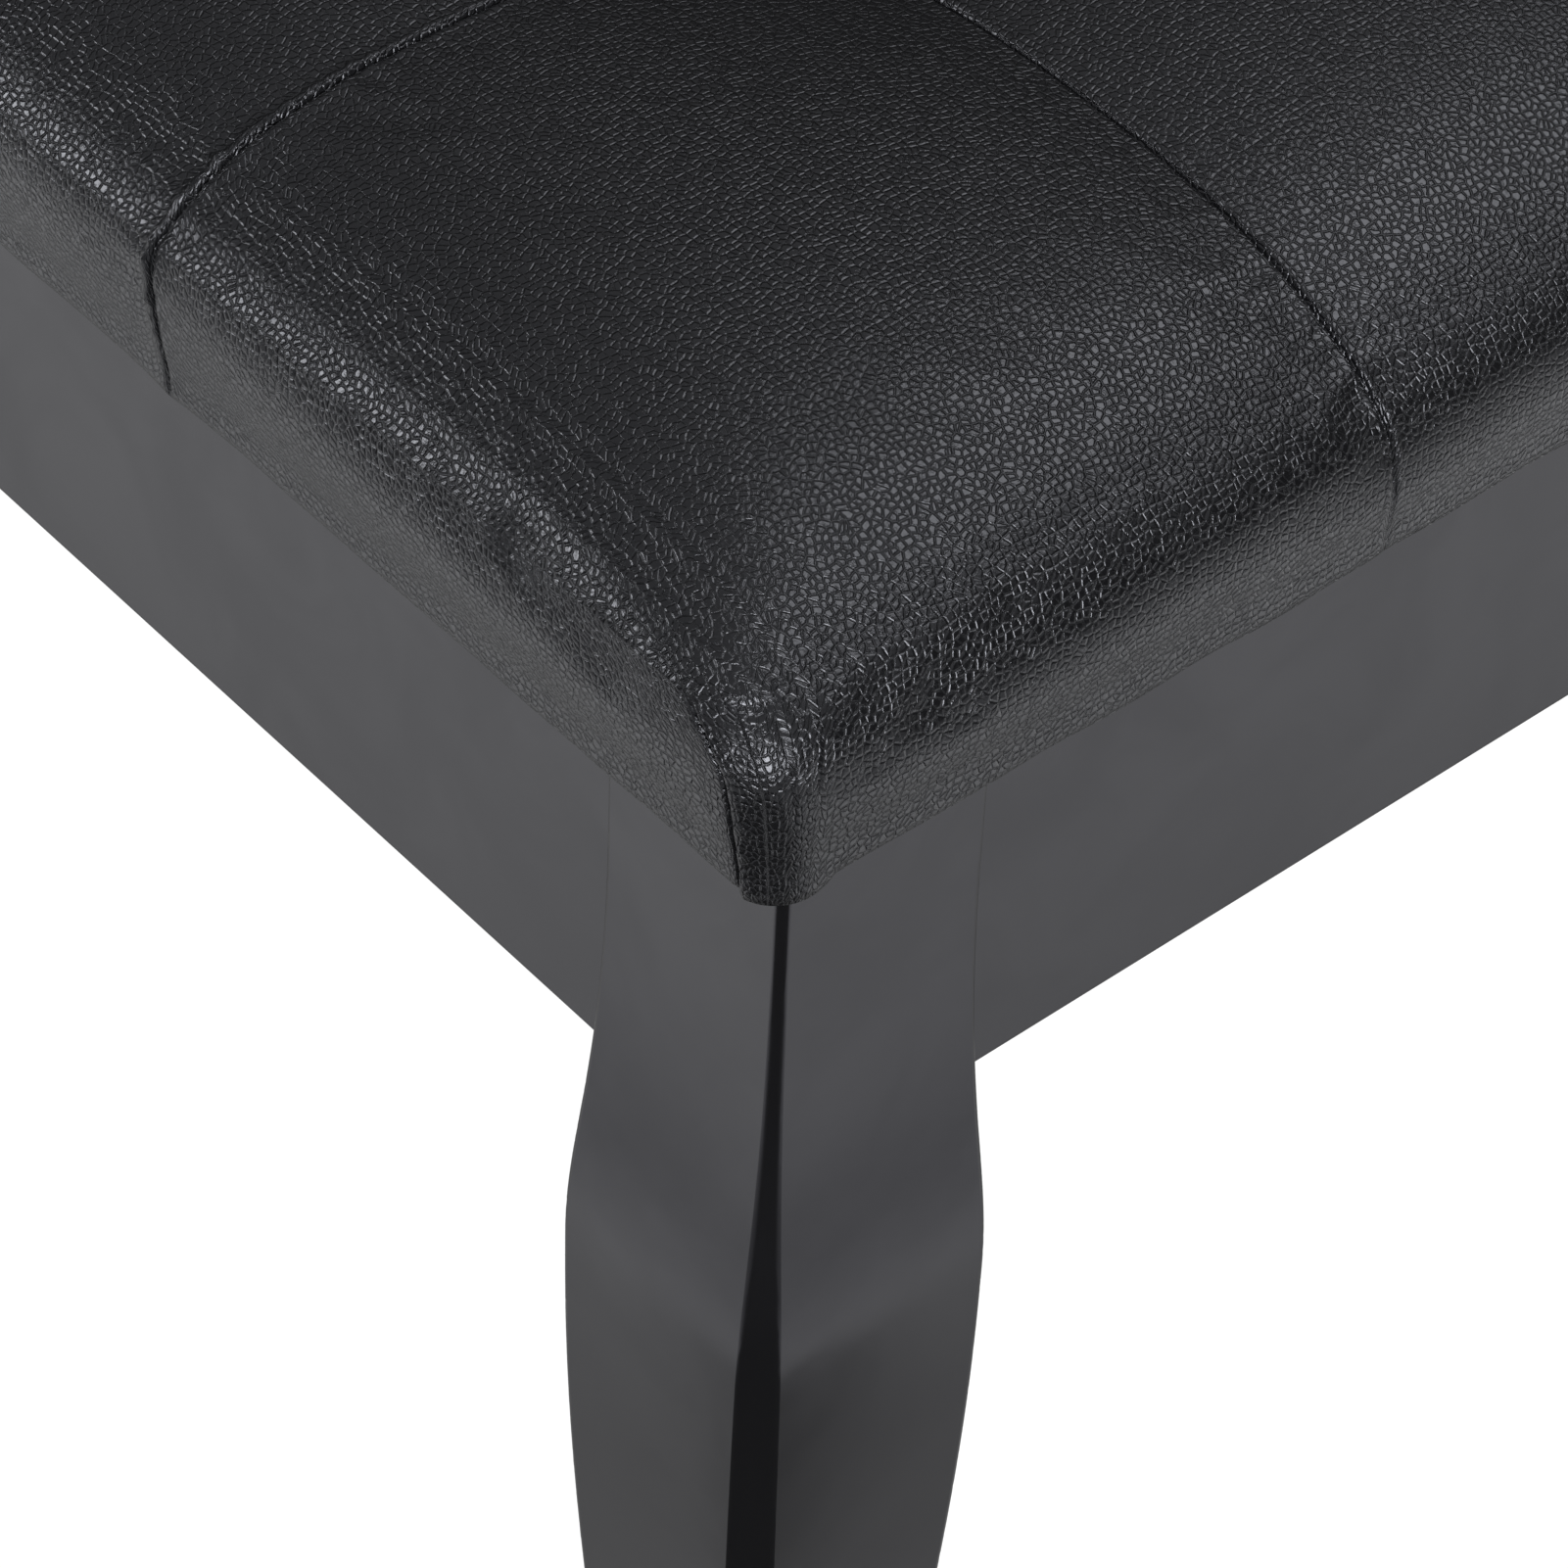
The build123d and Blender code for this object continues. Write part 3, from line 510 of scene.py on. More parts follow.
FINISHES = (
    Leatherette(),
    Lacquer(),
    Timber(Slot.PINE, (0.62, 0.44, 0.25), (0.44, 0.27, 0.12)),
    Timber(Slot.PLYWOOD, (0.55, 0.39, 0.23), (0.42, 0.27, 0.14), pitch=0.012),
    Cloth(Slot.FELT, (0.035, 0.035, 0.037), (0.012, 0.012, 0.013)),
    Cloth(Slot.FOAM, (0.72, 0.68, 0.52), (0.5, 0.46, 0.33), size=0.0016, depth=0.0008),
    Cloth(Slot.LINING, (0.03, 0.03, 0.03), (0.01, 0.01, 0.01), size=0.0009, depth=0.0002),
    Moulding(Slot.NYLON),
    Moulding(Slot.RUBBER, (0.03, 0.03, 0.03), 0.7),
    PlatedSteel(Slot.BRASS, (0.72, 0.55, 0.28), (0.5, 0.36, 0.18)),
    PlatedSteel(Slot.STAY, (0.66, 0.66, 0.66), (0.46, 0.46, 0.47)),
    PlatedSteel(Slot.ZINC, (0.7, 0.7, 0.68), (0.5, 0.5, 0.52), 0.24),
    PlatedSteel(Slot.STAPLE, (0.62, 0.62, 0.63), (0.42, 0.42, 0.42), 0.3),
)
THREAD = Moulding(Slot.LEATHER, (0.012, 0.012, 0.012), 0.38, 0.0003)


# -------------------------------------------------------------------------- mesh helpers
def add_object(name: str, data: bpy.types.ID) -> bpy.types.Object:
    """Put a mesh, a lamp or a camera in the scene.

    Args:
        name: the object's name.
        data: what it shows.

    Returns:
        The new object.
    """
    obj = bpy.data.objects.new(name, data)
    bpy.context.scene.collection.objects.link(obj)
    return obj


def mesh_object(name: str, points: np.ndarray, faces: list) -> bpy.types.Object:
    """Put a new mesh in the scene.

    Args:
        name: the name of the mesh and of its object.
        points: places of its vertices, in metres.
        faces: the vertices' numbers round each face.

    Returns:
        The new object.
    """
    mesh = bpy.data.meshes.new(name)
    mesh.from_pydata(points.tolist(), [], faces)
    mesh.update()
    return add_object(name, mesh)


def vectors(items: bpy.types.bpy_prop_collection, key: str) -> np.ndarray:
    """Read a vector of each item, such as the place of each vertex.

    Args:
        items: the mesh's items.
        key: the vector's name.

    Returns:
        A row of three numbers for each item.
    """
    values = np.empty(len(items) * 3)
    items.foreach_get(key, values)
    return values.reshape(-1, 3)


def arc(points: np.ndarray, axis: int, start: int) -> np.ndarray:
    """Distances along lines of points.

    Args:
        points: places, with their coordinates on the last axis.
        axis: the axis that runs along the lines.
        start: number of the points to measure from.

    Returns:
        The distance of each point from the start, negative before it.
    """
    steps = np.linalg.norm(np.diff(points, axis=axis), axis=-1)
    total = np.insert(np.cumsum(steps, axis=axis), 0, 0.0, axis=axis)
    return total - np.take(total, [start], axis=axis)


def unit(values: np.ndarray) -> np.ndarray:
    """The vectors, each with length 1."""
    return values / np.linalg.norm(values, axis=-1, keepdims=True)


def quads(top: np.ndarray, own: np.ndarray, ahead: np.ndarray) -> np.ndarray:
    """Values at the corners of a sheet's faces.

    Args:
        top: values of the top patch's points.
        own: values of the band's points, by level.
        ahead: values at the far side of the face that follows each of them.

    Returns:
        A row of four values for each face: the top patch's first, then the band's by level.
    """
    patch = np.stack([top[:-1, :-1], top[1:, :-1], top[1:, 1:], top[:-1, 1:]], 2)
    sides = np.stack([own[1:], ahead[1:], ahead[:-1], own[:-1]], 2)
    return np.concatenate([part.reshape(-1, 4, *top.shape[2:]) for part in (patch, sides)])


def spline_weights(knots: np.ndarray, points: np.ndarray) -> np.ndarray:
    """Weights of a natural cubic spline.

    Args:
        knots: rising places of the known values.
        points: places at which values are wanted.

    Returns:
        A matrix that turns values at the knots into values at the points.
    """
    count, step = len(knots), np.diff(knots)
    curve, rise = np.eye(count), np.zeros((count, count))
    for k in range(1, count - 1):
        curve[k, k - 1:k + 2] = step[k - 1], 2 * (step[k - 1] + step[k]), step[k]
        rise[k, k - 1:k + 2] = 6 / step[k - 1], -6 / step[k - 1] - 6 / step[k], 6 / step[k]
    second = np.linalg.solve(curve, rise)
    cell = np.clip(np.searchsorted(knots, points) - 1, 0, count - 2)
    width = step[cell][:, None]
    high = (points - knots[cell])[:, None] / width
    low = 1 - high
    values = np.eye(count)
    bend = (low ** 3 - low) * second[cell] + (high ** 3 - high) * second[cell + 1]
    return low * values[cell] + high * values[cell + 1] + bend * width ** 2 / 6


def bell(distance: np.ndarray, width: float) -> np.ndarray:
    """A bump of height 1 that fades over a width on both sides."""
    return np.exp(-(distance / width) ** 2)


def step_up(value: np.ndarray, low: float, high: float) -> np.ndarray:
    """Smooth rise from 0 at low to 1 at high."""
    share = np.clip((value - low) / (high - low), 0.0, 1.0)
    return share * share * (3 - 2 * share)


def waves(place: np.ndarray, pitch: float, seed: int) -> np.ndarray:
    """Uneven ripples along a line, between about -1 and 1.

    Args:
        place: distance along the line.
        pitch: usual distance from one ripple to the next.
        seed: picks one of many patterns.

    Returns:
        The ripples' height.
    """
    draw = np.random.default_rng(seed)
    total = np.zeros_like(place, dtype=float)
    for _ in range(5):
        total += draw.uniform(0.5, 1.0) * np.sin(
            2 * math.pi * (place / (pitch * draw.uniform(0.7, 1.7)) + draw.uniform()))
    return total / 2.2


# --------------------------------------------------------------------------- seat cover
@dataclass(frozen=True)
class Level:
    """A level line round the cover: its height, insets from the hem and corner radius, in mm."""

    height: float
    end_in: float
    side_in: float
    corner: float


@dataclass
class Sheet:
    """Points of the cover before they are a mesh: a top patch and a band round it."""

    along: np.ndarray            # grid lines along the bench, on the flat rectangle
    across: np.ndarray
    top: np.ndarray              # (lines along, lines across, 3)
    band: np.ndarray             # (levels, points round, 3), whose first level is the top's edge

    @staticmethod
    def ring(top: np.ndarray) -> np.ndarray:
        """The edge of a top patch in the band's order."""
        return np.concatenate([top[:, 0], top[-1, 1:], top[-2::-1, -1], top[0, -2:0:-1]])

    def corners(self) -> np.ndarray:
        """Numbers of the corners in the band's order, the first one again at the end."""
        length, depth = len(self.along) - 1, len(self.across) - 1
        return np.cumsum([0, length, depth, length, depth])

    def plan(self) -> tuple[np.ndarray, ...]:
        """Places of the top patch's points on the flat rectangle, along and across the bench."""
        return tuple(np.meshgrid(self.along, self.across, indexing="ij"))

    def ring_plan(self) -> tuple[np.ndarray, ...]:
        """The same for the points round the band."""
        return tuple(Sheet.ring(places) for places in self.plan())

    def flat(self) -> np.ndarray:
        """All points in the mesh's order."""
        return np.concatenate([self.top.reshape(-1, 3), self.band[1:].reshape(-1, 3)])

    def split(self, rows: np.ndarray) -> tuple[np.ndarray, np.ndarray]:
        """Lay values out as the sheet's points are.

        Args:
            rows: a row of values for each point, in the mesh's order.

        Returns:
            The top patch's values and the band's.
        """
        size = self.top[..., 0].size
        top = rows[:size].reshape(*self.top.shape[:2], -1)
        lower = rows[size:].reshape(-1, self.band.shape[1], rows.shape[1])
        return top, np.concatenate([Sheet.ring(top)[None], lower])


@dataclass
class SeatCover:
    """Shape of the lid's cover: five by three panels over foam, turned under the board.

    Lengths are in mm and heights are above the hem.
    """

    half_length: float = 370.5
    half_depth: float = 190.5
    hem_z: float = 445.0
    crown: float = 50.3
    end_curve: float = 24.2      # how soon the padding rises in from an end
    end_power: float = 1.1
    side_curve: float = 16.1     # and from a long side
    cross_seams: tuple[float, ...] = (-222.3, -74.1, 74.1, 222.3)
    long_seams: tuple[float, ...] = (-63.5, 63.5)
    cross_valley: float = 1.4    # how far the cross seams pull the padding down
    long_valley: float = 4.2     # and the long ones
    valley_width: float = 21.8
    valley_floor: float = 3.4
    tuft_depth: float = 5.9      # further pull where the seams cross
    tuft_width: float = 40.9
    end_pull: float = 3.9        # how far the long seams draw the ends' shoulder in
    pull_start: float = 11.7
    pull_rise: float = 17.2
    row_pitch: float = 1.8       # between the levels that the mesh has
    kept_straight: float = 20.0  # grid lines up to here beyond a seam run straight down
    levels: tuple[Level, ...] = (
        Level(32.2, 7.8, -1.0, 14.4),
        Level(28.9, 3.1, -2.2, 13.6),
        Level(24.6, 0.2, -2.4, 11.9),
        Level(18.2, -0.7, -1.9, 11.0),
        Level(10.6, -0.5, -1.1, 10.1),
        Level(4.2, -0.1, -0.3, 9.3),
        Level(1.0, 0.1, 0.1, 8.5),
        Level(0.0, 1.1, 1.1, 7.6),
    )
    folded: tuple[Level, ...] = (    # turned under the board, and the cut edge's thickness
        Level(0.0, 2.6, 2.6, 6.8),
        Level(0.0, 12.0, 12.0, 3.0),
        Level(0.0, 30.0, 30.0, 1.0),
        Level(1.2, 30.3, 30.3, 1.0),
    )

    @property
    def flat_end(self) -> float:
        """Half the length of the flat rectangle that the top patch covers."""
        return self.half_length - self.levels[0].end_in

    @property
    def flat_side(self) -> float:
        """Half the depth of that rectangle."""
        return self.half_depth - self.levels[0].side_in

    def rows(self) -> list[Level]:
        """All level lines of the mesh, from the shoulder down and under.

        Returns:
            The levels, evenly spaced down to the hem.
        """
        table = np.array([(v.height, v.end_in, v.side_in, v.corner) for v in self.levels])
        knots = arc(table[:, :3], 0, 0)
        count = math.ceil(knots[-2] / self.row_pitch)
        places = np.append(np.linspace(0.0, knots[-2], count), knots[-1])
        fine = spline_weights(knots, places) @ table
        return [Level(*row) for row in fine] + list(self.folded)

    def lines(self, half: float, pitch: float, fine: dict[float, tuple[float, ...]]) -> np.ndarray:
        """Grid lines from one side to the other.

        Args:
            half: half the width that they cover.
            pitch: widest spacing.
            fine: extra lines, as offsets on both sides of a place.

        Returns:
            The lines' places, rising, the same on both halves.
        """
        places = {-half, half}
        for place, offsets in fine.items():
            for offset in offsets:
                places.update((place - offset, place + offset))
        places = sorted(round(value, 6) for value in places if abs(value) <= half + SAME)
        lines = []
        for start, end in zip(places, places[1:]):
            count = max(1, math.ceil((end - start) / pitch - SAME))
            lines += [start + (end - start) * k / count for k in range(count)]
        return np.array(lines + [places[-1]])

    def rounded(self, p: np.ndarray, q: np.ndarray, level: Level) -> np.ndarray:
        """Places on the plan of points of the flat rectangle, moved to a level's outline.

        Args:
            p: distance along the bench on the first level's rectangle.
            q: distance across it.
            level: the outline that the rectangle's edge goes to.

        Returns:
            Their (x, y), with the corners rounded.
        """
        first, result = self.levels[0], []
        for value, half, inset, seams in ((p, self.half_length, "end_in", self.cross_seams),
                                          (q, self.half_depth, "side_in", self.long_seams)):
            straight = half - getattr(first, inset) - first.corner
            new_straight = half - getattr(level, inset) - level.corner
            kept = seams[-1] + self.kept_straight
            size = np.abs(value)
            turn = np.maximum(size - straight, 0) / first.corner
            stretched = (np.clip(size, kept, straight) - kept) * (new_straight - kept) / (straight - kept)
            result.append((np.sign(value), np.minimum(size, kept) + stretched, turn))
        (sign_x, flat_x, turn_x), (sign_y, flat_y, turn_y) = result
        x = flat_x + level.corner * turn_x * np.sqrt(1 - turn_y ** 2 / 2)
        y = flat_y + level.corner * turn_y * np.sqrt(1 - turn_x ** 2 / 2)
        return np.stack([sign_x * x, sign_y * y], -1)

    def valley(self, distance: np.ndarray) -> np.ndarray:
        """How much of a seam's pull is felt at a distance from it."""
        return np.exp(-(np.hypot(distance, self.valley_floor) - self.valley_floor) / self.valley_width)

    def from_seam(self, value: np.ndarray, seams: tuple[float, ...]) -> np.ndarray:
        """Signed distance to the nearest of the seams at the given places."""
        gaps = np.stack([value - place for place in seams])
        return np.take_along_axis(gaps, np.abs(gaps).argmin(0)[None], 0)[0]

    def from_cross_seam(self, x: np.ndarray) -> np.ndarray:
        """Signed distance to the nearest cross seam."""
        return self.from_seam(x, self.cross_seams)

    def from_long_seam(self, y: np.ndarray) -> np.ndarray:
        """Signed distance to the nearest long seam."""
        return self.from_seam(y, self.long_seams)

    def pulled_in(self, height: float) -> float:
        """How far the long seam draws the ends in at a height."""
        share = min(1.0, max(0.0, (height - self.pull_start) / self.pull_rise))
        return self.end_pull * share ** 1.5

    def lay_out(self, along: np.ndarray, across: np.ndarray) -> Sheet:
        """The cover over its padding, before its panels swell.

        Args:
            along: grid lines along the bench.
            across: grid lines across it.

        Returns:
            The sheet, with a top patch that those lines part.
        """
        first = self.levels[0]
        p, q = np.meshgrid(along, across, indexing="ij")
        from_end, from_side = np.maximum(self.flat_end - np.abs(p), 0), self.flat_side - np.abs(q)
        rise_end = 1 - np.exp(-(from_end / self.end_curve) ** self.end_power)
        rise_side = 1 - np.exp(-from_side / self.side_curve)
        both = rise_end + rise_side - rise_end * rise_side
        rise = rise_end * rise_side / np.maximum(both, 1e-9)
        height = first.height + (self.crown - first.height) * rise
        plan = self.rounded(p, q, first)
        from_cross, from_long = self.from_cross_seam(p), self.from_long_seam(q)
        height -= rise_side * self.cross_valley * self.valley(from_cross)
        height -= rise_end * self.long_valley * self.valley(from_long)
        height -= self.tuft_depth * bell(np.hypot(from_cross, from_long), self.tuft_width)
        pull = self.pulled_in(first.height)
        plan[..., 0] -= np.sign(p) * (1 - rise_end) * pull * self.valley(from_long)
        top = np.concatenate([plan, height[..., None]], -1)
        ring_p, ring_q = Sheet.ring(p), Sheet.ring(q)
        facing = (np.abs(ring_p) > self.flat_end - SAME) * self.valley(self.from_long_seam(ring_q))
        band = []
        for level in self.rows():
            plan = self.rounded(ring_p, ring_q, level)
            plan[:, 0] -= np.sign(ring_p) * self.pulled_in(level.height) * facing
            band.append(np.column_stack([plan, np.full(len(ring_p), level.height)]))
        return Sheet(along, across, top, np.array(band))

    def mesh(self, sheet: Sheet, name: str) -> bpy.types.Object:
        """Make a sheet a mesh.

        Args:
            sheet: the sheet.
            name: the object's name.

        Returns:
            The object, with the top patch's vertices first and then the band's lower levels.
        """
        points = (sheet.flat() + np.array([0, 0, self.hem_z])) * MM
        top, band = (numbers[..., 0] for numbers in sheet.split(np.arange(len(points))[:, None]))
        return mesh_object(name, points, quads(top, band, np.roll(band, -1, axis=1)).tolist())


@dataclass
class Swelling:
    """Blows a coarse copy of the cover up as cloth, held at its seams and round its band."""

    cover: SeatCover
    pitch: float = 6.0
    frames: int = 20             # steps of the cloth
    pressure: float = 4.0
    stiffness: float = 12.0
    bending: float = 0.4
    cap: float = 5.0             # farthest that a point may move, in mm
    held_below: float = 9.0      # the band is held below this height

    def grid(self) -> tuple[np.ndarray, np.ndarray]:
        """Grid lines of the coarse copy, with the seams among them.

        Returns:
            The lines along the bench and across it.
        """
        cover = self.cover
        return (cover.lines(cover.flat_end, self.pitch, {place: (0.0,) for place in cover.cross_seams}),
                cover.lines(cover.flat_side, self.pitch, {place: (0.0,) for place in cover.long_seams}))

    def held(self, sheet: Sheet) -> np.ndarray:
        """Find the points that stay where they are.

        Args:
            sheet: the coarse copy.

        Returns:
            Their numbers in the mesh's order.
        """
        p, q = sheet.plan()
        near = self.pitch / 2
        on_seam = ((np.abs(self.cover.from_cross_seam(p)) < near)
                   | (np.abs(self.cover.from_long_seam(q)) < near))
        on_band = Sheet.ring(on_seam)[None] | (sheet.band[1:, :, 2] < self.held_below)
        return np.flatnonzero(np.concatenate([on_seam.ravel(), on_band.ravel()]))

    def blow_up(self, sheet: Sheet) -> np.ndarray:
        """Run the cloth.

        Args:
            sheet: the coarse copy.

        Returns:
            How far each point moved, in mm and in the mesh's order.
        """
        piece = self.cover.mesh(sheet, "cover_to_swell")
        pins = piece.vertex_groups.new(name="pins")
        for number in self.held(sheet).tolist():
            pins.add([number], 1.0, "REPLACE")
        cloth = piece.modifiers.new("swell", "CLOTH")
        cloth.settings.use_pressure = True
        cloth.settings.uniform_pressure_force = self.pressure
        cloth.settings.tension_stiffness = self.stiffness
        cloth.settings.compression_stiffness = self.stiffness
        cloth.settings.bending_stiffness = self.bending
        cloth.settings.effector_weights.gravity = 0.0
        cloth.settings.vertex_group_mass = pins.name
        cloth.point_cache.frame_end = self.frames
        for number in range(1, self.frames + 1):
            bpy.context.scene.frame_set(number)
        swollen = piece.evaluated_get(bpy.context.evaluated_depsgraph_get()).data
        places = vectors(swollen.vertices, "co")
        bpy.context.scene.frame_set(1)
        bpy.data.objects.remove(piece)
        moved = places / MM - np.array([0, 0, self.cover.hem_z]) - sheet.flat()
        size = np.linalg.norm(moved, axis=1, keepdims=True)
        return moved * np.minimum(1.0, self.cap / np.maximum(size, 1e-9))

    def carry(self, sheet: Sheet) -> Sheet:
        """Give a fine sheet the coarse copy's swelling.

        Args:
            sheet: the fine sheet.

        Returns:
            The swollen one.
        """
        coarse = self.cover.lay_out(*self.grid())
        moved = self.blow_up(coarse)
        log.info("swelling: %.1f mm at most, %.1f mm on average", np.abs(moved).max(),
                 np.linalg.norm(moved, axis=1).mean())
        top, band = coarse.split(moved)
        by_x = spline_weights(coarse.along, sheet.along)
        by_y = spline_weights(coarse.across, sheet.across)
        fine_top = sheet.top + np.einsum("ai,bj,ijk->abk", by_x, by_y, top)
        closed = np.concatenate([band, band[:, :1]], axis=1)
        turns = (by_x, by_y, by_x[::-1, ::-1], by_y[::-1, ::-1])
        corners = coarse.corners()
        fine = [np.einsum("ai,lik->lak", weights, closed[:, start:end + 1])[:, :-1]
                for weights, start, end in zip(turns, corners, corners[1:])]
        return Sheet(sheet.along, sheet.across, fine_top, sheet.band + np.concatenate(fine, axis=1))


@dataclass
class Needlework:
    """Seams, gathers, corner darts and hem of the finished cover, in mm."""

    cover: SeatCover
    groove_depth: float = 1.2
    groove_width: float = 0.42
    lip: float = 0.38            # rolled edge beside a groove
    lip_offset: float = 1.2
    lip_width: float = 0.8
    lip_bulge: float = 0.35      # share by which its height varies
    far_lip: float = 0.35        # height of the other edge, as a share of it
    gather: float = 0.4          # height of the gathers that end in a seam
    gather_pitch: float = 5.0
    gather_reach: float = 7.0
    gather_start: tuple[float, float] = (0.2, 1.6)    # they begin between these distances
    gathers_from: float = 58.0   # they grow from this far inside the hem
    end_shoulder: float = 16.0   # to this far inside it at an end
    side_shoulder: float = 10.0  # and at a long side
    band_growth: tuple[float, float] = (6.0, 27.0)    # heights between which they grow on the band
    cross_seed: int = 21         # patterns of the gathers
    long_seed: int = 57
    unevenness: float = 0.12     # slow bumps all over the panels
    band_unevenness: float = 0.08
    dart_low: float = 9.0        # the dart at the hem, from the end of the flat rectangle
    dart_high: float = 9.8       # and at its top
    dart_top: float = 31.2
    dart_depth: float = 1.1
    dart_width: float = 0.6
    dart_wander: float = 0.3
    wrap: float = 0.55           # how proud the wrapped corner stands of the face beside it
    wrap_end: tuple[float, float] = (2.4, 9.0)    # and where it is level with it again
    arc_height: float = 0.2      # creases round the wrapped corner
    tab_drop: float = 1.9        # the wrapped corner hangs below the hem
    tab_end: float = 12.1        # and ends this far from the corner
    hem_wave: float = 0.2
    hem_pitch: float = 31.0
    seam_droop: float = 0.8      # how far the hem hangs at the cross seams
    droop_width: float = 5.5
    hem_step: float = 0.7        # and beyond a long seam
    step_start: tuple[float, float] = (-2.3, 4.7)
    step_end: tuple[float, float] = (8.0, 110.0)
    hem_reach: tuple[float, float] = (1.0, 7.0)       # heights between which these fade out
    stitch_pitch: float = 2.3
    stitch_length: float = 1.7
    stitch_radius: float = 0.18
    stitch_rise: float = 0.25
    stitched_rows: int = 8       # levels that the stitches go down on each side
    along_pitch: float = 2.2     # widest spacing of the grid lines along the bench
    across_pitch: float = 1.9    # and across it
    corner_pitch: float = 0.6    # spacing near the corners
    corner_reach: float = 14.0
    beside: tuple[float, ...] = (0.0, 0.25, 0.5, 0.8, 1.2, 1.7, 2.4, 3.2)    # lines beside a seam

    def grid(self) -> tuple[np.ndarray, np.ndarray]:
        """Grid lines of the finished cover, close together at the seams and the darts.

        Returns:
            The lines along the bench and across it.
        """
        cover = self.cover
        fine = {place: self.beside for place in cover.cross_seams}
        near_corner = tuple(np.arange(0.0, self.corner_reach, self.corner_pitch))
        fine[cover.flat_end] = fine[-cover.flat_end] = near_corner
        across = cover.lines(cover.flat_side, self.across_pitch,
                             {place: self.beside for place in cover.long_seams})
        return cover.lines(cover.flat_end, self.along_pitch, fine), across

    def seam(self, gap: np.ndarray, place: np.ndarray, seed: int, gathers: np.ndarray,
             welt: np.ndarray) -> np.ndarray:
        """Relief of a sewn seam.

        Args:
            gap: signed distance to the seam.
            place: distance along it.
            seed: picks the pattern of its gathers.
            gathers: how strong the gathers are, 1 as usual.
            welt: how high the rolled edge on its negative side is, 1 as usual.

        Returns:
            Height along the surface's normal.
        """
        gap, place = np.broadcast_arrays(gap, place)
        relief = -self.groove_depth * bell(gap, self.groove_width)
        bulges = 1 + self.lip_bulge * waves(place, self.gather_pitch, seed)
        relief += self.lip * welt * bulges * bell(gap + self.lip_offset, self.lip_width)
        relief += self.far_lip * self.lip * bell(gap - self.lip_offset, self.lip_width)
        for side in (-1, 1):
            reach = self.gather_reach * (1 + 0.45 * waves(place, 4 * self.gather_pitch, seed + 3 + side))
            lean = place + 0.35 * gap * waves(place, 9 * self.gather_pitch, seed + 7)
            folds = waves(lean, self.gather_pitch, seed + 11 + side)
            share = step_up(side * gap, *self.gather_start) * np.exp(-np.abs(gap) / np.maximum(reach, 2.0))
            relief += self.gather * gathers * folds * share
        return relief

    def on_top(self, sheet: Sheet) -> np.ndarray:
        """Relief of the top patch.

        Args:
            sheet: the swollen sheet.

        Returns:
            A height for each of the patch's points.
        """
        cover = self.cover
        x, y = sheet.top[..., 0], sheet.top[..., 1]
        p, q = sheet.plan()
        side = step_up(np.abs(q), cover.half_depth - self.gathers_from, cover.half_depth - self.side_shoulder)
        end = step_up(np.abs(p), cover.half_length - self.gathers_from, cover.half_length - self.end_shoulder)
        relief = self.seam(cover.from_cross_seam(p), y, self.cross_seed, 0.8 + 1.1 * side, 0.7 + 0.9 * side)
        relief += self.seam(cover.from_long_seam(q), x, self.long_seed, 0.3 + 1.9 * end, 0.1 + 0.6 * end)
        relief += self.unevenness * waves(x + 0.4 * y, 28.0, 71) * waves(y - 0.3 * x, 22.0, 73)
        return relief

    def on_band(self, sheet: Sheet) -> np.ndarray:
        """Relief of the band.

        Args:
            sheet: the swollen sheet, with its hem.

        Returns:
            A height for each of the band's points, a row for each level.
        """
        cover = self.cover
        p, q = sheet.ring_plan()
        height = sheet.band[..., 2]
        on_side = np.abs(q) > cover.flat_side - SAME
        on_end = np.abs(p) > cover.flat_end - SAME
        high = step_up(height, *self.band_growth)
        relief = on_side * self.seam(cover.from_cross_seam(p), height, self.cross_seed,
                                     0.3 + 1.6 * high, 0.25 + 1.35 * high) * (0.7 + 0.3 * high)
        relief += on_end * self.seam(cover.from_long_seam(q), height, self.long_seed,
                                     0.2 + 2.0 * high, 0.2 + 0.7 * high) * (0.06 + 0.94 * high)
        dart = self.dart_low + (self.dart_high - self.dart_low) * height / self.dart_top
        past = np.abs(p) - cover.flat_end + dart + self.dart_wander * waves(height, 4.0, 87)
        below_top = on_side * (1 - step_up(height, self.dart_top - 2, self.dart_top + 1.0))
        relief += below_top * (-self.dart_depth * bell(past, self.dart_width)
                               + self.wrap * step_up(past, 0.0, 1.1) * (1 - step_up(past, *self.wrap_end)))
        arcs = waves(height + 0.06 * past ** 2, 5.0, 83)
        relief += self.arc_height * below_top * arcs * step_up(past, 0.5, 1.6) * (1 - step_up(past, 5.5, 9.0))
        relief += self.band_unevenness * waves(p + q + 0.5 * height, 20.0, 91)
        return relief * (height > 0.2)

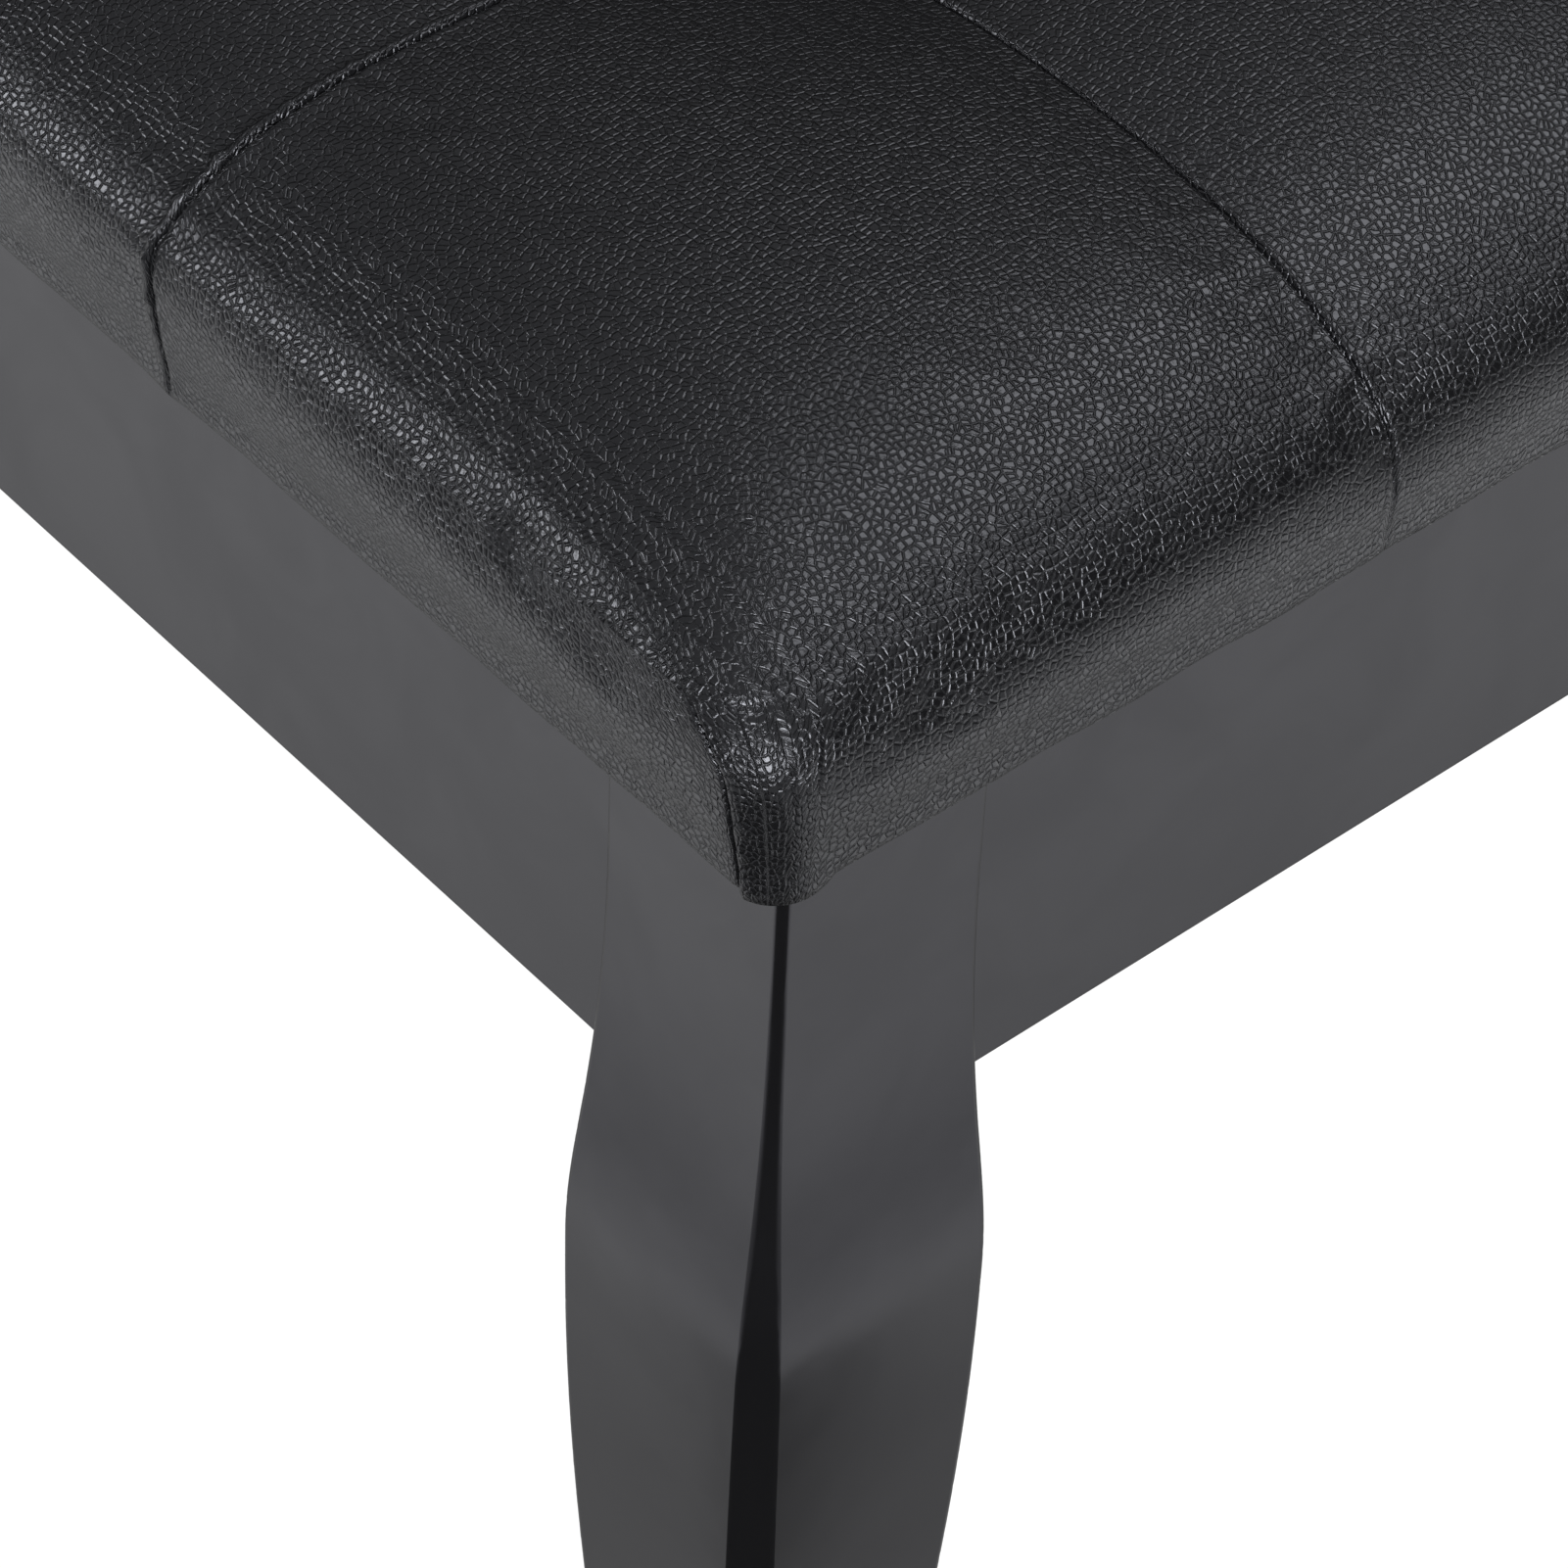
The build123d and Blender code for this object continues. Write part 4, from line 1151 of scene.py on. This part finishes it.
    def hem(self, sheet: Sheet) -> np.ndarray:
        """Waves, steps and tabs of the hem.

        Args:
            sheet: the swollen sheet.

        Returns:
            How far each of the band's points moves up, most of all along the hem.
        """
        cover = self.cover
        p, _ = sheet.ring_plan()
        x, y = sheet.band[-len(cover.folded) - 2, :, :2].T
        from_side = cover.half_depth - np.abs(y)
        on_end = cover.half_length - np.abs(x) < from_side
        move = self.hem_wave * waves(x + 1.3 * y, self.hem_pitch, 41)
        move -= self.seam_droop * ~on_end * bell(cover.from_cross_seam(x), self.droop_width)
        outside = np.abs(y) - cover.long_seams[-1]
        stepped = step_up(outside, *self.step_start) * (1 - step_up(outside, *self.step_end))
        move -= self.hem_step * on_end * stepped
        dart = cover.flat_end - self.dart_low
        wrapped = on_end * (1 - step_up(from_side, self.tab_end - 1.1, self.tab_end))
        wrapped += ~on_end * step_up(np.abs(p), dart - 0.3, dart + 0.7)
        move -= self.tab_drop * wrapped
        share = 1 - step_up(np.array([level.height for level in cover.rows()]), *self.hem_reach)
        share[-len(cover.folded):] = 0.0
        return share[:, None] * move[None]

    def finish(self, sheet: Sheet) -> bpy.types.Object:
        """Sew the cover.

        Args:
            sheet: the swollen sheet.

        Returns:
            The cover, with its relief and its UV map.
        """
        sheet.band[..., 2] += self.hem(sheet)
        piece = self.cover.mesh(sheet, "seat_cover_sewn")
        mesh = piece.data
        relief = np.concatenate([self.on_top(sheet).ravel(), self.on_band(sheet)[1:].ravel()])
        places = vectors(mesh.vertices, "co") + vectors(mesh.vertex_normals, "vector") * relief[:, None] * MM
        mesh.vertices.foreach_set("co", places.ravel())
        mesh.update()
        mesh.shade_smooth()
        self.unwrap(sheet, mesh, places)
        return piece

    def unwrap(self, sheet: Sheet, mesh: bpy.types.Mesh, places: np.ndarray) -> None:
        """UV map in metres, from arc lengths, cut where the darts are.

        Args:
            sheet: the sheet that the mesh was made from.
            mesh: the sewn cover's mesh.
            places: its vertices' places.
        """
        top, band = sheet.split(places)
        surface = np.stack([arc(top, 0, len(sheet.along) // 2), arc(top, 1, len(sheet.across) // 2)], -1)
        u, v = Sheet.ring(surface).T
        down = arc(band, 0, 0)
        round_ = arc(np.vstack([band[0], band[0][:1]]), 0, 0)
        corners, columns = sheet.corners(), np.arange(len(u))
        maps = np.empty((len(Side), *down.shape, 2))
        for side, sign in ((Side.FRONT, -1), (Side.BACK, 1)):
            maps[side.value, ..., 0] = u
            maps[side.value, ..., 1] = v + sign * down
        for side, sign in ((Side.RIGHT, 1), (Side.LEFT, -1)):
            start, end = corners[side.value:side.value + 2]
            away = round_[:-1] - round_[start]
            away -= round_[-1] * np.round(away / round_[-1])
            inside = (columns >= start) & (columns <= end)
            maps[side.value, ..., 0] = np.where(inside, u, u[start:end].mean()) + sign * down
            maps[side.value, ..., 1] = v[start] + sign * away
        p, q = sheet.ring_plan()
        dart = self.cover.flat_end - (self.dart_low + self.dart_high) / 2
        which = np.where(np.abs(p) > dart, np.where(p > 0, Side.RIGHT.value, Side.LEFT.value),
                         np.where(q > 0, Side.BACK.value, Side.FRONT.value))
        own, ahead = (maps[which, :, number].swapaxes(0, 1) for number in (columns, np.roll(columns, -1)))
        mesh.uv_layers.new(name="surface").data.foreach_set("uv", quads(surface, own, ahead).ravel())

    def bead(self) -> tuple[np.ndarray, list[tuple[int, ...]]]:
        """One stitch, a bead of thread that is thinner at its ends.

        Returns:
            Its points, as a share of its length and metres aside and out, and its faces.
        """
        sides, rings = 6, (-1.0, -0.7, 0.0, 0.7, 1.0)
        step, turn = np.meshgrid(rings, 2 * math.pi * np.arange(sides) / sides, indexing="ij")
        radius = self.stitch_radius * MM * np.sqrt(1.05 - step ** 2)
        points = np.stack([step / 2, radius * np.cos(turn), radius * np.sin(turn)], -1).reshape(-1, 3)
        faces = []
        for first in range(0, len(points) - sides, sides):
            for k in range(sides):
                a, b = first + k, first + (k + 1) % sides
                faces.append((a, b, b + sides, a + sides))
        faces.append(tuple(reversed(range(sides))))
        faces.append(tuple(range(len(points) - sides, len(points))))
        return points, faces

    def sew_along(self, path: np.ndarray, bead: np.ndarray) -> np.ndarray:
        """Place stitches along a seam.

        Args:
            path: the seam's places and normals, six numbers in a row.
            bead: the points of one stitch.

        Returns:
            The points of every stitch.
        """
        reach = arc(path[:, :3], 0, 0)
        pitch, half = self.stitch_pitch * MM, self.stitch_length * MM / 2
        middles = np.arange(pitch, reach[-1] - pitch, pitch)
        start, middle, end = (
            np.stack([np.interp(middles + shift, reach, column) for column in path.T], -1)
            for shift in (-half, 0.0, half))
        out = unit(middle[:, 3:])
        ahead = (end - start)[:, :3]
        aside = unit(np.cross(ahead, out))
        centre = (start + end)[:, :3] / 2 + out * self.stitch_rise * MM
        return centre[:, None] + np.einsum("vi,inj->nvj", bead, np.stack([ahead, aside, out]))

    def stitches(self, sheet: Sheet, cover: bpy.types.Object) -> bpy.types.Object:
        """Thread of the cross seams, one short bead for each stitch.

        Args:
            sheet: the sheet that the cover was made from.
            cover: the sewn cover.

        Returns:
            The thread.
        """
        mesh = cover.data
        surface = np.hstack([vectors(mesh.vertices, "co"), vectors(mesh.vertex_normals, "vector")])
        top, band = sheet.split(surface)
        bead, shell = self.bead()
        lower = slice(1, self.stitched_rows + 1)
        ring_p, _ = sheet.ring_plan()
        beads = []
        for seam in self.cover.cross_seams:
            line = int(np.abs(sheet.along - seam).argmin())
            front, back = np.flatnonzero(ring_p == sheet.along[line])
            path = np.concatenate([band[lower, front][::-1], top[line], band[lower, back]])
            beads.append(self.sew_along(path, bead))
        points = np.concatenate(beads).reshape(-1, 3)
        faces = [[first + k for k in face] for first in range(0, len(points), len(bead)) for face in shell]
        thread = mesh_object("seam_stitches", points, faces)
        thread.data.shade_smooth()
        return thread


# ------------------------------------------------------------------------------- studio
@dataclass
class Studio:
    """White floor, soft lamps, and what the gloss reflects."""

    camera_place: tuple[float, float, float] = (0.8148, -0.5916, 1.0676)
    right: tuple[float, float, float] = (0.64711, 0.76169, 0.03286)    # the camera's right
    up: tuple[float, float, float] = (-0.55242, 0.43874, 0.70876)      # and its up
    lens: float = 134.9
    floor_size: float = 8.0
    lamps: tuple[tuple[str, tuple[float, float, float], float, float], ...] = (
        ("softbox_left", (-0.7, -1.17, 0.9), 0.42, 3.9),      # name, place, size, power
        ("softbox_right", (0.45, 0.82, 2.0), 0.9, 5.4),
        ("softbox_camera", (1.28, -0.66, 1.14), 0.6, 11.0),
    )
    aim: tuple[float, float, float] = (0.2, -0.1, 0.48)    # what the lamps point at
    floor_colour: float = 0.8    # of the matt floor, which takes the shadow
    glow_to_eye: float = 0.85    # share of the white that is laid over it, to the eye
    glow_in_gloss: float = 0.95
    white: float = 1.16          # level of that white to the eye
    gloss_white: float = 1.05    # and in the gloss
    footprint: tuple[float, float] = (0.395, 0.19)     # half the sides of the floor under the bench
    painted_shade_level: float = 0.36    # level of the painted shadow of the bench on the floor, in the gloss
    painted_shade_width: tuple[float, float] = (0.08, 0.3)     # where that painted shadow ends, beyond those sides
    white_width: tuple[float, float] = (0.36, 0.62)    # where the white floor ends, in the gloss
    far_floor: float = 0.35      # and its level beyond
    flag_place: tuple[float, float, float] = (0.66, -0.49, 0.01)
    flag_size: tuple[float, float, float] = (0.85, 0.62, 1.0)
    flag_colour: float = 0.05
    fill: float = 0.5            # world's level for matt surfaces
    open_studio: float = 0.03    # what gloss sees beyond the white floor
    sky: float = 0.25            # and overhead
    sky_rise: tuple[float, float] = (0.35, 0.62)       # heights between which it turns into that

    def set_camera(self) -> None:
        """Camera at the angle of a close view of the front right corner."""
        data = bpy.data.cameras.new("camera")
        data.lens, data.sensor_width = self.lens, 36.0
        data.clip_end = 50.0
        camera = add_object("camera", data)
        right, up = Vector(self.right).normalized(), Vector(self.up).normalized()
        back = right.cross(up).normalized()
        turn = Matrix((right, back.cross(right), back)).transposed().to_4x4()
        camera.matrix_world = Matrix.Translation(self.camera_place) @ turn
        bpy.context.scene.camera = camera

    def rays(self, tree: bpy.types.NodeTree) -> tuple[bpy.types.NodeSocket, bpy.types.NodeSocket]:
        """Tell the kinds of ray apart.

        Args:
            tree: the tree of a material or of the world.

        Returns:
            Masks of what the eye sees, also through glass, and of what gloss sees.
        """
        path = put(tree, "LightPath").outputs
        seen = maths(tree, "MAXIMUM", path["Is Camera Ray"], path["Is Transmission Ray"])
        return seen, path["Is Glossy Ray"]

    def plane(self, name: str, size: float, material: bpy.types.Material) -> bpy.types.Object:
        """Add a level plane.

        Args:
            name: the plane's name.
            size: its width.
            material: its material.

        Returns:
            The plane, at the origin.
        """
        bpy.ops.mesh.primitive_plane_add(size=size)
        plane = bpy.context.object
        plane.name = name
        plane.data.materials.append(material)
        return plane

    def floor(self) -> None:
        """Floor that looks white to the eye and in gloss, and still takes a shadow; in gloss it also has a
        painted shadow round the bench.
        """
        material = bpy.data.materials.new("white_floor")
        material.use_nodes = True
        tree = material.node_tree
        tree.nodes.clear()
        seen, in_gloss = self.rays(tree)
        place = put(tree, "VectorMath", {"operation": "ABSOLUTE"},
                    {0: put(tree, "TexCoord").outputs["Object"]}).outputs[0]
        sides = put(tree, "SeparateXYZ", inputs={0: place}).outputs
        beside = maths(tree, "MAXIMUM", maths(tree, "SUBTRACT", sides[0], self.footprint[0]),
                       maths(tree, "SUBTRACT", sides[1], self.footprint[1]))
        # painted shadow: the floor that gloss sees is darkened round the bench
        shade = remap(tree, beside, *self.painted_shade_width, self.painted_shade_level, 1.0)
        open_floor = remap(tree, beside, *self.white_width, self.gloss_white, self.far_floor)
        level = blend(tree, seen, maths(tree, "MULTIPLY", shade, open_floor), self.white)
        glow = put(tree, "Emission", inputs={"Color": WHITE, "Strength": level})
        matt = put(tree, "BsdfDiffuse", inputs={"Color": (*[self.floor_colour] * 3, 1.0)})
        share = maths(tree, "MAXIMUM", maths(tree, "MULTIPLY", seen, self.glow_to_eye),
                      maths(tree, "MULTIPLY", in_gloss, self.glow_in_gloss))
        mix = put(tree, "MixShader", inputs={0: share, 1: matt.outputs[0], 2: glow.outputs[0]})
        put(tree, "OutputMaterial", inputs={"Surface": mix.outputs[0]})
        self.plane("floor", self.floor_size, material)

    def flag(self) -> None:
        """Black card on the floor before the near corner, which only gloss sees."""
        material = bpy.data.materials.new("black_card")
        material.use_nodes = True
        shader = material.node_tree.nodes["Principled BSDF"]
        shader.inputs["Base Color"].default_value = (*[self.flag_colour] * 3, 1.0)
        shader.inputs["Specular IOR Level"].default_value = 0.0
        card = self.plane("black_flag", 1.0, material)
        card.scale = self.flag_size
        card.rotation_euler = (0.0, 0.0, math.radians(-45))
        card.location = self.flag_place
        card.visible_camera = card.visible_diffuse = card.visible_shadow = False
        card.visible_transmission = False

    def lights(self) -> None:
        """Soft lamps: a low one at the front left, a high one behind, one beside the camera."""
        for name, place, size, power in self.lamps:
            data = bpy.data.lights.new(name, "AREA")
            data.shape, data.size, data.energy = "SQUARE", size, power
            lamp = add_object(name, data)
            lamp.location = place
            lamp.rotation_euler = (Vector(self.aim) - Vector(place)).to_track_quat("-Z", "Y").to_euler()

    def world(self) -> None:
        """Plain fill for matt surfaces, white for the eye, and a studio for gloss."""
        world = bpy.data.worlds.new("studio")
        bpy.context.scene.world = world
        world.use_nodes = True
        tree = world.node_tree
        tree.nodes.clear()
        seen, in_gloss = self.rays(tree)
        up = put(tree, "SeparateXYZ", inputs={0: put(tree, "TexCoord").outputs["Generated"]}).outputs[2]
        sky = remap(tree, up, *self.sky_rise, self.open_studio, self.sky)
        level = blend(tree, seen, blend(tree, in_gloss, self.fill, sky), 1.0)
        glow = put(tree, "Background", inputs={"Color": WHITE, "Strength": level})
        put(tree, "OutputWorld", inputs={"Surface": glow.outputs[0]})

    def build(self) -> None:
        """Set up the whole studio."""
        self.set_camera()
        self.floor()
        self.flag()
        self.lights()
        self.world()
        bpy.context.scene.view_settings.view_transform = "Standard"


def dress_nodes(materials: dict[str, bpy.types.Material]) -> None:
    """Give every CAD node the finish of its slot in the record.

    Args:
        materials: the finishes' materials by slot.
    """
    for part in frame["record"]["subparts"]:
        node = frame["nodes"][part["node"]]
        node.data.materials.clear()
        node.data.materials.append(materials[part["material_slot"]])


def main() -> None:
    """Build the studio, the finishes and the cover."""
    logging.basicConfig(level=logging.INFO, format="%(name)s: %(message)s")
    Studio().build()
    kit = {"grain": make_pebble_grain(), "smudges": make_smudges(), "specks": make_specks(),
           "timber": make_timber_grain()}
    materials = {finish.slot.value: finish.material(kit) for finish in FINISHES}
    dress_nodes(materials)
    cover = SeatCover()
    work = Needlework(cover)
    sheet = Swelling(cover).carry(cover.lay_out(*work.grid()))
    piece = work.finish(sheet)
    thread = work.stitches(sheet, piece)
    piece.data.materials.append(materials[Slot.LEATHER.value])
    thread.data.materials.append(THREAD.material(kit, "black_thread"))
    for item in (piece, thread):
        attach(item, "lid")
    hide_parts("seat_cover", "seat_foam")
    log.info("cover: %d faces, thread: %d", len(piece.data.polygons), len(thread.data.polygons))


if __name__ == "__main__":
    main()
